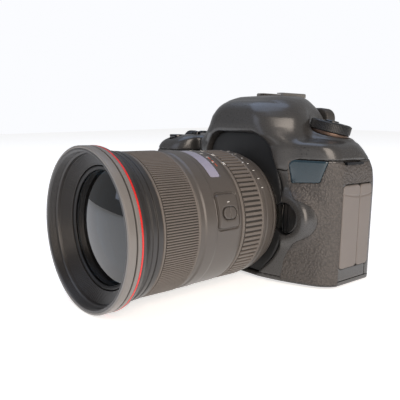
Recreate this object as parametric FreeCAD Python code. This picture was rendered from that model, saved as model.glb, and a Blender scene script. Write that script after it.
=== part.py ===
"""Digital reflex camera with a wide zoom lens, in millimetres.

+Z is up, the lens points along -Y and the grip is at -X.  The origin is the mouth of the
tripod socket, in the base and under the optical axis.  Every separate piece is one node
in parts/, and the pieces that move are written in their rest position.
"""
import FreeCAD, Part
import math
import os

from FreeCAD import Vector

# ---------------------------------------------------------------- driving dimensions
AXIS_Z = 40.0            # height of the optical axis over the base
FLANGE_Y = -36.0         # face that the lens seats on
SIDE_X = 65.4            # wall that carries the terminal covers
GRIP_X = -86.0           # outer wall of the grip
BACK_Y = 22.0            # rear wall
NOSE_Y = -42.0           # front of the viewfinder hump
FOCAL_Y = 8.0            # image plane, 44 mm behind the flange
SHUTTER_Y = 5.9          # curtain, just in front of the sensor
BASE_TOP = 3.0           # top of the bottom cover
SEAM_Z = 76.0            # joint between the top cover and the lower covers
REAR_SEAM_Y = 14.0       # joint between the front and rear covers
WEB_Y = -26.2            # back of the web that the mount surround sits on
DECK_Z = 88.5            # top plate
HUMP_Z = 113.6           # top of the viewfinder hump, under the accessory shoe
SHOE_Z = 116.4           # highest point of the camera
SEAM_GAP = 0.05          # half of the gap between two covers
WALL = 2.4               # wall of the covers
SKIN = 0.9               # thickness of the leatherette
FIT = 0.25               # gap between a control and its hole

THROAT_R = 27.0          # clear radius of the lens mount
MOUNT_R = 32.5           # outside of the mount ring
SOCKET_R = 3.175         # 1/4-20 tripod thread
SOCKET_DEPTH = 6.0

LENS_LENGTH = 111.6      # flange to front rim
LENS_R = 44.25           # front rim
TUBE_R = 35.2            # fixed tube that the rings turn on
TUBE_BORE = 33.9
FILTER_R = 41.0          # 82 mm filter thread
FILTER_DEPTH = 4.4

DIAL_BASE = Vector(40.7, 4.0, 92.5)                  # under the mode dial
DIAL_AXIS = Vector(0.195, 0.112, 0.974).normalize()
DIAL_R = 12.8
LEVER_ANGLE = 70.0       # rest position of the power switch's lever, from +X

# controls: radius and centre on the cover's face; the round keys also have their height
TOP_KEYS = [(2.8, 1.1, (-71.5, -5.0, DECK_Z)), (2.8, 1.1, (-62.5, -5.0, DECK_Z)),
            (2.8, 1.1, (-53.5, -5.0, DECK_Z)), (2.6, 1.1, (-60.0, -20.5, DECK_Z))]
SHUTTER_BUTTON = (5.5, (-70.0, -31.6, 87.4))
SHUTTER_RISE = 1.8
MAIN_DIAL = (8.5, (-69.5, -16.7, 82.6))          # axis along X
MAIN_DIAL_HALF = 3.4                             # half of its width
REAR_KEYS = {
    "af_start_button": (3.3, (-48.5, BACK_Y, 81.0)),
    "ae_lock_button": (2.7, (-60.5, BACK_Y, 81.0)),
    "af_point_button": (2.7, (-71.5, BACK_Y, 81.0)),
    "live_view_button": (3.6, (-37.0, BACK_Y, 69.0)),
}
MENU_KEYS = [(3.0, (57.0, BACK_Y, 69.5)), (3.0, (46.5, BACK_Y, 69.5))]
LEFT_KEYS = [(3.1, (56.0, BACK_Y, 57.5 - 10 * row)) for row in range(5)]
QUICK_DIAL = (16.8, (-59.5, BACK_Y, 31.0))
SET_BUTTON_R = 6.2
JOYSTICK = (-51.5, BACK_Y, 60.5)
RELEASE_BUTTON = (9.6, (38.8, AXIS_Z))           # radius and centre in X and Z
RELEASE_TRAVEL = 2.5

# doors, windows, screws and strap loops
CARD_DOOR = ((GRIP_X - 1, -11.5, 16), (GRIP_X + 1.6, 13.4, 66))
BATTERY_DOOR = ((-81.5, -27, 0.15), (-54.0, 13.0, 2.2))
THUMB_REST = ((-84.5, 15, 50), (-64, 23, 73.5))
TERMINAL_Z = (10.6, 64.0)
TERMINAL_Y = (-13.2, 13.6)
TERMINAL_SPLIT_Y = 3.8
REAR_WINDOW = (-30, 45, 10.5, 61.5, 2)           # X range, Z range, corner radius
TOP_WINDOW = (-80, -46, -0.5, 17.0, 2.5)         # X range, Y range, corner radius
BASE_SCREWS = [(x, y) for x in (-46, -20, 20, 58) for y in (-16, 16)]
BACK_SCREWS = [(58.5, 4.5), (-78.0, 8.0), (-30.0, 70.0), (25.0, 66.5)]
STRAP_LOOPS = [((SIDE_X - 2.6, SIDE_X + 1.6), -4.5), ((GRIP_X - 0.8, GRIP_X + 3.4), -4.0)]
BADGE = [(43.2, 75.6), ((40.4, 74.6), (39.6, 71.5)), (40.8, 63), ((41.2, 61.8), (42.4, 61.9)),
         (54.8, 62.8), ((56.4, 63.2), (57.0, 64.6)), (60.2, 75.6)]

# mirrors: the small one hangs behind the main one, which rests at 45 degrees
MIRROR_HINGE = Vector(0, 2.0, 57.0)
MIRROR_LENGTH = 30.0
SUB_HINGE = 14.5          # along the main mirror from its hinge
SUB_OFFSET = 2.0          # behind the main mirror
SUB_LENGTH = 12.0
MIRROR_DOWN = Vector(0, -1, -1).normalize()
MIRROR_BACK = Vector(0, 1, -1).normalize()

# lens details
RING_GAP = 0.2            # between a turning ring and its neighbours
SWITCH_TURN = 78.0        # the focus switch, from the top towards +X
FRONT_GLASS_R = 31.5
FRONT_DOME_R = 46.0
RIDGES = 8                # steps of the cone behind the filter thread
RIDGE_STEP = (1.25, 0.78)  # each one's depth and drop

UP = Vector(0, 0, 1)
BACKWARD = Vector(0, 1, 0)
RIGHT = Vector(1, 0, 0)


# ---------------------------------------------------------------- helpers
def box(low, high):
    size = [high[i] - low[i] for i in range(3)]
    return Part.makeBox(*size, Vector(*low))


def rod(radius, start, direction, length):
    return Part.makeCylinder(radius, length, Vector(*start), Vector(*direction))


def tube(outer, inner, start, direction, length):
    return rod(outer, start, direction, length).cut(rod(inner, start, direction, length))


def is_arc(step):
    return isinstance(step[0], tuple)


def outline(path, place):
    """Face inside a closed path; a nested pair is an arc's middle and end."""
    edges = []
    here = path[0]
    for step in path[1:] + [path[0]]:
        end = step[1] if is_arc(step) else step
        if is_arc(step):
            edges.append(Part.Arc(place(here), place(step[0]), place(end)).toShape())
        elif math.dist(here, end) > 1e-6:
            edges.append(Part.makeLine(place(here), place(end)))
        here = end
    return Part.Face(Part.Wire(edges))


def prism_x(path, low, high):
    return outline(path, lambda p: Vector(low, *p)).extrude(RIGHT * (high - low))


def prism_y(path, low, high):
    return outline(path, lambda p: Vector(p[0], low, p[1])).extrude(BACKWARD * (high - low))


def prism_z(path, low, high):
    return outline(path, lambda p: Vector(*p, low)).extrude(UP * (high - low))


def symmetric(half):
    """Close a path that starts and ends on x = 0 with its own mirror image."""
    def flip(point):
        return (-point[0], point[1])

    ends = [step[1] if is_arc(step) else step for step in half]
    path = list(half)
    for index in range(len(half) - 1, 0, -1):
        end = flip(ends[index - 1])
        step = half[index]
        path.append((flip(step[0]), end) if is_arc(step) else end)
    return path


def rounded(x0, x1, y0, y1, r):
    """Rectangle with round corners, as a path."""
    k = r * (1 - math.sqrt(0.5))
    return [(x0 + r, y0), (x1 - r, y0), ((x1 - k, y0 + k), (x1, y0 + r)), (x1, y1 - r),
            ((x1 - k, y1 - k), (x1 - r, y1)), (x0 + r, y1), ((x0 + k, y1 - k), (x0, y1 - r)),
            (x0, y0 + r), ((x0 + k, y0 + k), (x0 + r, y0))]


def turned(profile):
    """Solid of revolution about the optical axis, from (distance from the flange, radius)."""
    def place(point):
        return Vector(0, FLANGE_Y - point[0], AXIS_Z + point[1])

    axis_point = Vector(0, 0, AXIS_Z)
    return outline(profile, place).revolve(axis_point, BACKWARD, 360)


def around_axis(shape, angle):
    """Copy turned about the optical axis, anticlockwise as seen from the front."""
    copy = shape.copy()
    copy.rotate(Vector(0, 0, AXIS_Z), Vector(0, -1, 0), angle)
    return copy


def join(shapes):
    return shapes[0].multiFuse(shapes[1:]).removeSplitter()


def to_dial_axis(shape):
    """Move a shape built on +Z at the origin onto the mode dial's tilted axis."""
    copy = shape.copy()
    turn = FreeCAD.Rotation(UP, DIAL_AXIS)
    copy.Placement = FreeCAD.Placement(DIAL_BASE, turn)
    return copy


def softened(shape, radius, keep):
    """Round the edges that keep() picks, or leave the shape alone if they can't be."""
    edges = [edge for edge in shape.Edges if keep(edge)]
    try:
        rounded_shape = shape.makeFillet(radius, edges)
    except Part.OCCError:
        return shape
    return rounded_shape if rounded_shape.isValid() else shape


# ---------------------------------------------------------------- outer form of the body
def body_plan():
    """Outline of the body seen from above, from the left of the mount round by the right."""
    return [(-22, -36.2), (20, -36.2), ((38.5, -31.6), (54, -24.4)),
            ((62.5, -20.4), (SIDE_X, -14.2)), (SIDE_X, 17), ((63.9, 20.5), (60.4, BACK_Y)),
            (-81, BACK_Y), ((-84.5, 20.5), (GRIP_X, 17)), (GRIP_X, -24),
            ((-83, -37), (-70, -41)), ((-57.5, -38), (-51, -29)), ((-48.6, -25.6), (-45, -24.5)),
            (-43, -24.5), ((-40.8, -32.6), (-33, -35.9))]


def grown_plan(offset, low, high):
    """Prism over the body's plan, grown by an offset."""
    face = outline(body_plan(), lambda p: Vector(*p, low))
    wire = face.OuterWire if offset == 0 else face.OuterWire.makeOffset2D(offset)
    return Part.Face(wire).extrude(UP * (high - low))


def recess_path(shrink=0.0):
    """Front outline of the recess round the lens mount, the same on both sides."""
    s = shrink
    return symmetric([(0, 92.2 - s), (10 - s, 92.2 - s), ((21.5 - s, 86.4 - s), (28 - s, 76)),
                      ((34.2 - s, 61), (36.8 - s, 42)), ((35.2 - s, 25), (29 - s, 12.5)),
                      (19.5 - s, 2 + s), (0, 2 + s)])


def hump_form():
    arch = symmetric([(0, HUMP_Z), (13, HUMP_Z), ((25.5, 111.2), (34, 105)),
                      ((40.2, 98), (44, 88)), (46, 70), (0, 70)])
    profile = [(NOSE_Y, 88), (NOSE_Y, 96), ((-38.5, 105), (-28, 111.2)),
               ((-20, 113.2), (-11, HUMP_Z)), (16, HUMP_Z), ((22, 110.6), (24, 105)),
               (24, 80), (BACK_Y - 1, 80), (BACK_Y - 1, 70), (-36, 70), (-36, 84)]
    plan = symmetric([(0, NOSE_Y), (17, NOSE_Y), ((28, -38.5), (36, -28)),
                      ((44, -10), (47, 24)), (0, 24)])
    form = prism_y(arch, NOSE_Y, 24).common(prism_x(profile, -50, 50))
    return form.common(prism_z(plan, 70, SHOE_Z))


def deck_form():
    """Top plate, sloping down under the mode dial and rounded off over the grip."""
    front = [(SIDE_X, SEAM_Z), ((62.3, 83.2), (54.5, 86.8)), (30, 90), (10, 90), (-40, DECK_Z),
             (-64, DECK_Z), ((-77, 84.6), (GRIP_X, SEAM_Z))]
    side = [(-41, SEAM_Z), (-40, 79), ((-36.6, 86), (-30, DECK_Z)), (-30, 90), (18, 90),
            ((21, 88.6), (BACK_Y, 85.5)), (BACK_Y, SEAM_Z)]
    deck = grown_plan(0, SEAM_Z, 91)
    return deck.common(prism_y(front, -42, 24)).common(prism_x(side, GRIP_X, SIDE_X))


def outer_form():
    lower = grown_plan(0, 0, SEAM_Z)
    lower = softened(lower, 1.8, lambda edge: edge.BoundBox.ZMax < 0.01)
    button_bulge = rod(13.8, (39.6, -34.4, AXIS_Z), BACKWARD, 9)
    pedestal = to_dial_axis(rod(13.6, (0, 0, -12), UP, 9.4))
    spindle = to_dial_axis(rod(4.0, (0, 0, -12), UP, 13.6))
    return join([lower, deck_form(), hump_form(), button_bulge, pedestal, spindle])


def inner_form():
    """Space inside the covers."""
    plan = [(-83.4, BACK_Y - WALL), (-83.4, -24), ((-80.6, -34.6), (-70, -38.2)),
            ((-59.4, -35.6), (-53, -27)), (-47, -21.5), (-36, -21.5), (-36, WEB_Y), (36, WEB_Y),
            (53, -20.8), (SIDE_X - WALL, -11), (SIDE_X - WALL, BACK_Y - WALL)]
    lower = prism_z(plan, 2.4, SEAM_Z)
    pocket_front = [(-78, SEAM_Z), ((-72, 81.8), (-62, 85.6)), (20, 86), (50, 84.4),
                    ((57, 82), (60.5, SEAM_Z))]
    pocket = prism_y(pocket_front, -25, 18.6).common(prism_z(plan, SEAM_Z, 90))
    prism_room = box((-24, -30, 70), (24, 19.5, 108))
    eyepiece_way = box((-11, 19, 84), (11, 26, 100))
    return join([lower, pocket, prism_room, eyepiece_way])


def leather_band(outward=0.0, depth=SKIN):
    return grown_plan(outward, 0, SEAM_Z).cut(grown_plan(-depth, 0, SEAM_Z))


def paint_zone():
    """Painted part of the front between the mount and the leatherette, with its round bulge."""
    path = [(-34, 0), (-34, 80), (38.6, 80), (38.6, 64), ((41.6, 55.6), (48.6, 50.9)),
            ((54.4, 40), (49.6, 30)), ((41.6, 22.4), (37.6, 10)), (35.4, 0)]
    return prism_y(path, -60, 0)


def badge_plate():
    return leather_band(0.35, SKIN).common(prism_y(BADGE, -60, 0))


def front_leather():
    band = leather_band()
    front = band.common(box((34, -45, 3.3), (70, -13.6, 75)))
    side = band.common(box((50, -13.6, 64.8), (70, REAR_SEAM_Y - SEAM_GAP, 75)))
    sheet = front.fuse(side).removeSplitter()
    return sheet.cut(paint_zone()).cut(prism_y(BADGE, -60, 0)).cut(strap_bar(STRAP_LOOPS[0], 0.2))


def grip_leather():
    band = leather_band()
    grip = band.common(box((-90, -45, 5), (-44.6, REAR_SEAM_Y - SEAM_GAP, 75)))
    room = box([c - FIT for c in CARD_DOOR[0]], [c + FIT for c in CARD_DOOR[1]])
    thumb = band.common(box(*THUMB_REST))
    return Part.makeCompound([grip.cut(room).cut(strap_bar(STRAP_LOOPS[1], 0.2)), thumb])


# ---------------------------------------------------------------- controls and their holes
def button(radius, centre, direction, above, below):
    """Round key from below to above its centre, which lies on the cover's face."""
    start = Vector(*centre) - Vector(*direction) * below
    return rod(radius, start, direction, above + below)


def hole(radius, centre, direction, above=6.0, below=9.0):
    return button(radius + FIT, centre, direction, above, below)


def terminal_cover(front, back, grow=0.0):
    path = rounded(front - grow, back + grow, TERMINAL_Z[0] - grow, TERMINAL_Z[1] + grow, 2.5)
    return prism_x(path, SIDE_X - 1.4 - grow, 66.0)


def release_button(grow=0.0):
    radius, (x, z) = RELEASE_BUTTON
    depth = 7.5 if grow == 0 else 7.5 + RELEASE_TRAVEL + grow
    button_body = rod(radius + grow, (x, -33.8, z), BACKWARD, depth)
    return button_body.cut(box((20, -40, 20), (36.9 - grow, -20, 60)))


def quick_dial(grow=0.0):
    radius, centre = QUICK_DIAL
    start = (centre[0], BACK_Y - 1.6 - grow, centre[2])
    bore = SET_BUTTON_R + FIT if grow == 0 else 0.01
    return tube(radius + grow, bore, start, BACKWARD, 3.2 + 3 * grow)


def strap_bar(loop, grow=0.0):
    """Flat steel bow that stands out of the side wall under the seam."""
    (low, high), y = loop
    half = 8.5 + grow
    return box((low - grow, y - half, 73.6 - grow), (high + grow, y + half, 75.2 + grow))


def base_screws(radius, top=1.4):
    return [rod(radius, (x, y, 0.0), UP, top) for x, y in BASE_SCREWS]


def back_screws(radius):
    return [rod(radius, (x, BACK_Y + 0.05, z), (0, -1, 0), 1.6) for x, z in BACK_SCREWS]


def mount_screws(radius):
    first = rod(radius, (0, FLANGE_Y, AXIS_Z + 30.9), BACKWARD, 2.6)
    return [around_axis(first, 45 + 90 * turn) for turn in range(4)]


def shoe_screws(radius):
    return [rod(radius, (x, y, HUMP_Z - 1.5), UP, 1.7) for x in (-5.5, 5.5) for y in (-3.5, 10)]


def control_holes():
    """Everything that the covers are opened for."""
    holes = []
    for radius, _, centre in TOP_KEYS:
        holes.append(hole(radius, centre, UP))
    holes.append(hole(*SHUTTER_BUTTON, UP))
    radius, (x, y, z) = MAIN_DIAL
    side = MAIN_DIAL_HALF + FIT
    holes.append(rod(radius + 0.5, (x - side, y, z), RIGHT, 2 * side))
    for radius, centre in list(REAR_KEYS.values()) + MENU_KEYS + LEFT_KEYS:
        holes.append(hole(radius, centre, BACKWARD))
    holes.append(hole(4.3, JOYSTICK, BACKWARD))
    holes.append(quick_dial(FIT))
    holes.append(hole(3.0, (QUICK_DIAL[1][0], BACK_Y, QUICK_DIAL[1][2]), BACKWARD))
    holes.append(prism_y(rounded(*REAR_WINDOW), BACK_Y - 0.9, BACK_Y + 3))
    holes.append(prism_z(rounded(*TOP_WINDOW), DECK_Z - 0.8, DECK_Z + 3))
    low, high = BATTERY_DOOR
    holes.append(box([c - FIT for c in low], (high[0] + FIT, high[1] + FIT, 3.2)))
    low, high = CARD_DOOR
    holes.append(box((low[0], low[1] - FIT, low[2] - FIT), [c + FIT for c in high]))
    holes.append(terminal_cover(TERMINAL_Y[0], TERMINAL_Y[1], FIT))
    holes.append(release_button(FIT))
    lever_way = tube(15.6, 12, (0, 0, -2.6), UP, 2.8).common(box((-20, 0, -3), (20, 20, 1)))
    holes.append(to_dial_axis(tube(DIAL_R + 0.6, 4.0, (0, 0, -2.6), UP, 12)))
    holes.append(to_dial_axis(rod(DIAL_R + 0.6, (0, 0, 1.6), UP, 12)))
    holes.append(to_dial_axis(lever_way))
    holes.append(rod(8.05, (0, 0, -1), UP, 5))
    holes.extend(strap_bar(loop) for loop in STRAP_LOOPS)
    holes.extend(base_screws(1.75) + back_screws(1.45) + shoe_screws(1.2))
    holes.extend(rod(0.45, (x, -45, z), BACKWARD, 30) for x, z in microphone_holes())
    return holes


def microphone_holes():
    """Five spots in a ring on the front of the shoulder, in X and Z."""
    turns = [math.radians(90 + 72 * turn) for turn in range(5)]
    return [(48.0 + 2.3 * math.cos(turn), 80.4 + 2.3 * math.sin(turn)) for turn in turns]


def covers():
    """Front, rear, top and bottom covers, cut from one hollow form."""
    mount_way = rod(MOUNT_R + 0.3, (0, -60, AXIS_Z), BACKWARD, 40)
    openings = [prism_y(recess_path(), -60, WEB_Y - 2.2), mount_way, inner_form()]
    openings += [front_leather(), badge_plate()]
    openings += grip_leather().Solids + control_holes()
    hollow = outer_form().cut(openings)
    far = 200
    top_z = SEAM_Z + SEAM_GAP
    low_z = SEAM_Z - SEAM_GAP
    rear_y = REAR_SEAM_Y + SEAM_GAP
    front_y = REAR_SEAM_Y - SEAM_GAP
    base_z = BASE_TOP + SEAM_GAP
    top = hollow.common(box((-far, -far, top_z), (far, far, far)))
    rear = hollow.common(box((-far, rear_y, base_z), (far, far, low_z)))
    front = hollow.common(box((-far, -far, base_z), (far, front_y, low_z)))
    bottom = hollow.common(box((-far, -far, -1), (far, far, BASE_TOP - SEAM_GAP)))
    return {"top_cover": top, "rear_cover": rear, "front_cover": front, "bottom_cover": bottom}


# ---------------------------------------------------------------- fixed pieces of the body
def mount_surround():
    plug = prism_y(recess_path(0.15), -33.6, WEB_Y - 2.2)
    bore = rod(MOUNT_R + 0.15, (0, -40, AXIS_Z), BACKWARD, 20)
    low_plane = box((-60, -60, -5), (60, 0, BASE_TOP + 0.1))
    return plug.cut(bore).cut(low_plane).cut(release_button(FIT))


def body_mount():
    """Bayonet ring with three claws and the gaps that the lens tabs enter by."""
    ring = turned([(0, THROAT_R + 0.1), (0, MOUNT_R), (-5, MOUNT_R), (-5, 30.2), (-1.5, 30.2),
                   (-1.5, THROAT_R + 0.1)])
    notch = box((-11, FLANGE_Y - 1, AXIS_Z + 25), (11, FLANGE_Y + 1.6, AXIS_Z + 29.4))
    for turn in range(3):
        ring = ring.cut(around_axis(notch, 60 + 120 * turn))
    return ring.cut(Part.makeCompound(mount_screws(1.35)))


def chassis():
    """Die-cast frame: mirror box, front plate that the mount screws to, and rear posts."""
    front_plate = prism_y(rounded(-33.5, 33.5, 7, 73, 4), WEB_Y + 0.1, WEB_Y + 2.4)
    boss = tube(MOUNT_R - 0.2, 30.3, (0, -30.9, AXIS_Z), BACKWARD, 5)
    walls = box((-24, WEB_Y + 1, 14), (24, 3.2, 66))
    room = box((-20.5, -30, 18), (20.5, 5, 62))
    screen_way = box((-18, -22.5, 60), (18, 1, 70))
    throat = rod(THROAT_R + 0.5, (0, -32, AXIS_Z), BACKWARD, 8.5)
    frame = join([front_plate, boss, walls])
    return frame.cut(room).cut(screen_way).cut(throat)


def hot_shoe():
    """Accessory shoe: base plate and two lipped rails, open at the back."""
    path = symmetric([(0, HUMP_Z + 0.02), (12, HUMP_Z + 0.02), (12, 115.4),
                      ((11.7, 116.1), (11, SHOE_Z)), (6.3, SHOE_Z), (6.3, 115.75),
                      (9.4, 115.75), (9.4, 114.0), (0, 114.0)])
    rails = prism_y(path, -8, 14.7)
    stop = box((-9.4, -8, 113.9), (9.4, -6.6, 115.0))
    return rails.fuse(stop).removeSplitter().cut(Part.makeCompound(shoe_screws(1.2)))


def pentaprism():
    path = [(-22, 66.2), (2, 66.2), (12, 80), (12, 94), (-8, 106), (-22, 84)]
    glass = prism_x(path, -19, 19)
    roof = prism_y(symmetric([(0, 106), (19.5, 88), (19.5, 64), (0, 64)]), -24, 14)
    return glass.common(roof)


def eyepiece_lens():
    slab = prism_y(rounded(-10.5, 10.5, 84.5, 99.5, 3), 15.5, 23)
    ball = Part.makeSphere(40, Vector(0, -16.8, 92))
    return slab.common(ball)


def eyecup():
    """Soft rubber frame round the viewfinder window."""
    outer = prism_y(rounded(-22.5, 22.5, 79, 106.5, 8), 24.3, 34.4)
    way = prism_y(rounded(-11.5, 11.5, 83.5, 100.5, 4), 20, 40)
    cup = outer.cut(way)
    return softened(cup, 2.2, lambda edge: edge.BoundBox.YMin > 34.3)


def shutter_frame():
    plate = box((-26, SHUTTER_Y - 1.2, 3), (26, SHUTTER_Y + 1.2, 62))
    window = box((-18, 3, 28), (18, 8, 52))
    slot = box((-20, SHUTTER_Y - 0.5, 3.2), (20, SHUTTER_Y + 0.5, 53.5))
    return plate.cut(window).cut(slot)


def image_sensor():
    glass = box((-19, FOCAL_Y - 0.6, 27), (19, FOCAL_Y + 0.6, 53))
    carrier = box((-23, FOCAL_Y + 0.6, 23), (23, FOCAL_Y + 2.6, 57))
    return glass.fuse(carrier).removeSplitter()


def circuit_board():
    board = box((-44, 12.2, 6), (58, 13.4, 70))
    chips = [box((-30, 13.4, 20), (-10, 15.2, 40)), box((5, 13.4, 22), (27, 15.4, 44)),
             box((34, 13.4, 48), (50, 14.8, 62))]
    return join([board] + chips)


def display_windows():
    rear = prism_y(rounded(*REAR_WINDOW), BACK_Y - 0.85, BACK_Y + 0.3)
    top = prism_z(rounded(*TOP_WINDOW), DECK_Z - 0.75, DECK_Z + 0.25)
    return Part.makeCompound([rear, top])


def strap_lugs():
    bows = []
    for loop in STRAP_LOOPS:
        bar = strap_bar(loop, -0.1)
        x, y = bar.BoundBox.Center.x, loop[1]
        bows.append(bar.cut(box((x - 0.9, y - 6.2, 70), (x + 1.1, y + 6.2, 78))))
    return Part.makeCompound(bows)


def tripod_socket():
    mouth = rod(8.0, (0, 0, 0), UP, 2.45)
    neck = rod(4.4, (0, 0, 0), UP, SOCKET_DEPTH + 1.2)
    flange = box((-14, -10, 2.45), (14, 4.4, 4.0))
    return join([mouth, neck, flange]).cut(rod(SOCKET_R, (0, 0, 0), UP, SOCKET_DEPTH))


def battery():
    pack = box((-78.5, -25, 4.2), (-57.5, 13, 61))
    return softened(pack, 2.0, lambda edge: edge.BoundBox.ZLength > 50)


def fasteners():
    heads = base_screws(1.7, 1.35) + back_screws(1.4) + mount_screws(1.3) + shoe_screws(1.15)
    return Part.makeCompound(heads)


# ---------------------------------------------------------------- moving pieces of the body
def along_mirror(distance, behind):
    """Point at a distance down the main mirror and so far behind its face."""
    return MIRROR_HINGE + MIRROR_DOWN * distance + MIRROR_BACK * behind


def reflex_mirror():
    path = [along_mirror(d, b) for d, b in
            ((0.4, -0.7), (MIRROR_LENGTH, -0.7), (MIRROR_LENGTH, 0.7), (0.4, 0.7))]
    plate = prism_x([(p.y, p.z) for p in path], -18, 18)
    pin = rod(0.9, (-18, MIRROR_HINGE.y, MIRROR_HINGE.z), RIGHT, 36)
    return plate.fuse(pin).removeSplitter()


def sub_mirror():
    """Plate of 0.6 mm at right angles to the main mirror."""
    far = SUB_OFFSET + SUB_LENGTH
    corners = [along_mirror(SUB_HINGE + side, behind)
               for side, behind in ((-0.3, SUB_OFFSET), (-0.3, far), (0.3, far), (0.3, SUB_OFFSET))]
    return prism_x([(p.y, p.z) for p in corners], -9, 9)


def shutter_curtain():
    return box((-19.6, SHUTTER_Y - 0.2, 27.7), (19.6, SHUTTER_Y + 0.2, 52.3))


def mode_dial():
    dial = tube(DIAL_R, 4.7, (0, 0, 0), UP, 7.0)
    rim = softened(dial, 0.8, lambda edge: edge.BoundBox.ZMin > 6.9 and edge.Length > 40)
    return to_dial_axis(rim)


def mode_lock_button():
    return to_dial_axis(rod(4.4, (0, 0, 3.4), UP, 4.6))


def power_switch():
    ring = tube(12.6, 4.7, (0, 0, -2.3), UP, 2.0)
    lever = box((11.5, -2.2, -2.3), (15.2, 2.2, -0.3))
    lever.rotate(Vector(0, 0, 0), UP, LEVER_ANGLE)
    return to_dial_axis(ring.fuse(lever).removeSplitter())


def main_dial():
    radius, (x, y, z) = MAIN_DIAL
    return tube(radius, 2.0, (x - MAIN_DIAL_HALF, y, z), RIGHT, 2 * MAIN_DIAL_HALF)


def main_dial_axle():
    """Spindle that the main dial turns on, held by two cheeks under the top cover."""
    _, (x, y, z) = MAIN_DIAL
    half = MAIN_DIAL_HALF
    spindle = rod(1.9, (x - half - 2.2, y, z), RIGHT, 2 * half + 4.4)
    cheeks = [box((x + side * (half + 1.2) - 0.8, y - 4, z - 4),
                  (x + side * (half + 1.2) + 0.8, y + 4, 86)) for side in (-1, 1)]
    return join([spindle] + cheeks)


def shutter_button():
    radius, centre = SHUTTER_BUTTON
    key = button(radius, centre, UP, SHUTTER_RISE, 3.0)
    return softened(key, 0.7, lambda edge: edge.BoundBox.ZMin > centre[2] + SHUTTER_RISE - 0.1)


def top_keys():
    return Part.makeCompound([button(radius, centre, UP, above, 3.6)
                              for radius, above, centre in TOP_KEYS])


def rear_key(radius, centre):
    return button(radius, centre, BACKWARD, 1.3, 4.0)


def set_button():
    x, y, z = QUICK_DIAL[1]
    cap = rod(SET_BUTTON_R, (x, BACK_Y - 0.4, z), BACKWARD, 2.2)
    stem = rod(2.8, (x, BACK_Y - 3, z), BACKWARD, 3)
    return cap.fuse(stem).removeSplitter()


def joystick():
    x, y, z = JOYSTICK
    ball = Part.makeSphere(2.6, Vector(x, BACK_Y - 0.8, z))
    stem = rod(1.8, (x, BACK_Y - 1, z), BACKWARD, 3)
    cap = rod(3.4, (x, BACK_Y + 1.2, z), BACKWARD, 1.5)
    return join([ball, stem, cap])


def card_door():
    (x0, y0, z0), (x1, y1, z1) = CARD_DOOR
    return prism_x(rounded(y0, y1, z0, z1, 1.2), GRIP_X, x1 - 0.2)


def battery_door():
    low, high = BATTERY_DOOR
    return prism_z(rounded(low[0], high[0], low[1], high[1], 2), low[2], high[2])


# ---------------------------------------------------------------- lens
def lens_bayonet():
    """Rear plate, tube and three tabs that turn behind the body's claws."""
    plate = turned([(0.03, 22), (0.03, 31.6), (1.5, 31.6), (1.5, 22)])
    sleeve = turned([(0.03, 22), (0.03, THROAT_R - 0.1), (-4.6, THROAT_R - 0.1), (-4.6, 22)])
    tab = turned([(-1.7, 26), (-1.7, 29.0), (-3.2, 29.0), (-3.2, 26)])
    wedge = box((-9.5, FLANGE_Y + 1, AXIS_Z + 20), (9.5, FLANGE_Y + 4, AXIS_Z + 31))
    tabs = [tab.common(around_axis(wedge, 120 * turn)) for turn in range(3)]
    return join([plate, sleeve] + tabs)


def rear_barrel():
    """Rear cone with the focal length scale, and the fixed tube inside the rings."""
    return turned([(1.52, TUBE_BORE - 3), (1.52, 35.9), (4.0, 36.9), (4.3, 36.5), (4.8, 36.6),
                   (5.1, 37.3), (7.0, 37.9), (7.4, 38.3), (12.0, 38.8), (15.4, 39.1),
                   (15.4, TUBE_R), (96.0, TUBE_R), (96.0, TUBE_BORE), (4.5, TUBE_BORE),
                   (4.5, TUBE_BORE - 3)])


def zoom_ring():
    bore = TUBE_R + RING_GAP
    return turned([(15.6, bore), (15.6, 38.7), (16.4, 39.2), (31.4, 39.5), (32.4, 39.1),
                   (33.2, 39.1), (33.2, bore)])


def window_barrel():
    """Fixed sleeve with the focus switch panel and the opening of the distance window."""
    sleeve = turned([(33.5, TUBE_R), (33.5, 39.2), (34.6, 39.5), (36.0, 39.7), (52.8, 40.0),
                     (54.0, 40.2), (60.6, 40.2), (61.6, 39.7), (64.3, 39.7), (64.3, TUBE_R)])
    panel = turned([(37.0, 39), (37.0, 40.4), (37.6, 40.8), (51.4, 40.9), (52.0, 40.5),
                    (52.0, 39)])
    panel = panel.common(panel_sector(0.0, 27.5))
    sleeve = join([sleeve, panel])
    window = turned([(41.6, 36.2), (41.6, 45), (49.2, 45), (49.2, 36.2)])
    well = around_axis(box((-4.9, -86, AXIS_Z + 38), (4.9, -74, AXIS_Z + 45)), -SWITCH_TURN)
    scale_room = turned([(39.6, TUBE_R), (39.6, 38.3), (51.4, 38.3), (51.4, TUBE_R)])
    sleeve = sleeve.cut(window.common(window_sector())).cut(scale_room)
    return sleeve.cut(well)


def panel_sector(low, high):
    """Wedge between two angles, measured from +X towards +Z about the optical axis."""
    reach = 60
    path = [(0, AXIS_Z)]
    for angle in (low, high):
        turn = math.radians(angle)
        path.append((reach * math.cos(turn), AXIS_Z + reach * math.sin(turn)))
    return prism_y(path, -160, -30)


def window_sector():
    """Wedge of the distance window, from one side over the top to the other."""
    left, right = math.radians(138.5), math.radians(41.5)
    reach = 70
    path = [(0, AXIS_Z), (reach * math.cos(left), AXIS_Z + reach * math.sin(left)),
            (0, AXIS_Z + 1.6 * reach), (reach * math.cos(right), AXIS_Z + reach * math.sin(right))]
    return prism_y(path, -160, -30)


def distance_window():
    pane = turned([(41.7, 38.6), (41.7, 39.75), (49.1, 39.85), (49.1, 38.6)])
    return pane.common(window_sector())


def distance_scale():
    return turned([(40.0, TUBE_R + RING_GAP), (40.0, 37.9), (51.0, 37.9), (51.0, TUBE_R + RING_GAP)])


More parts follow.
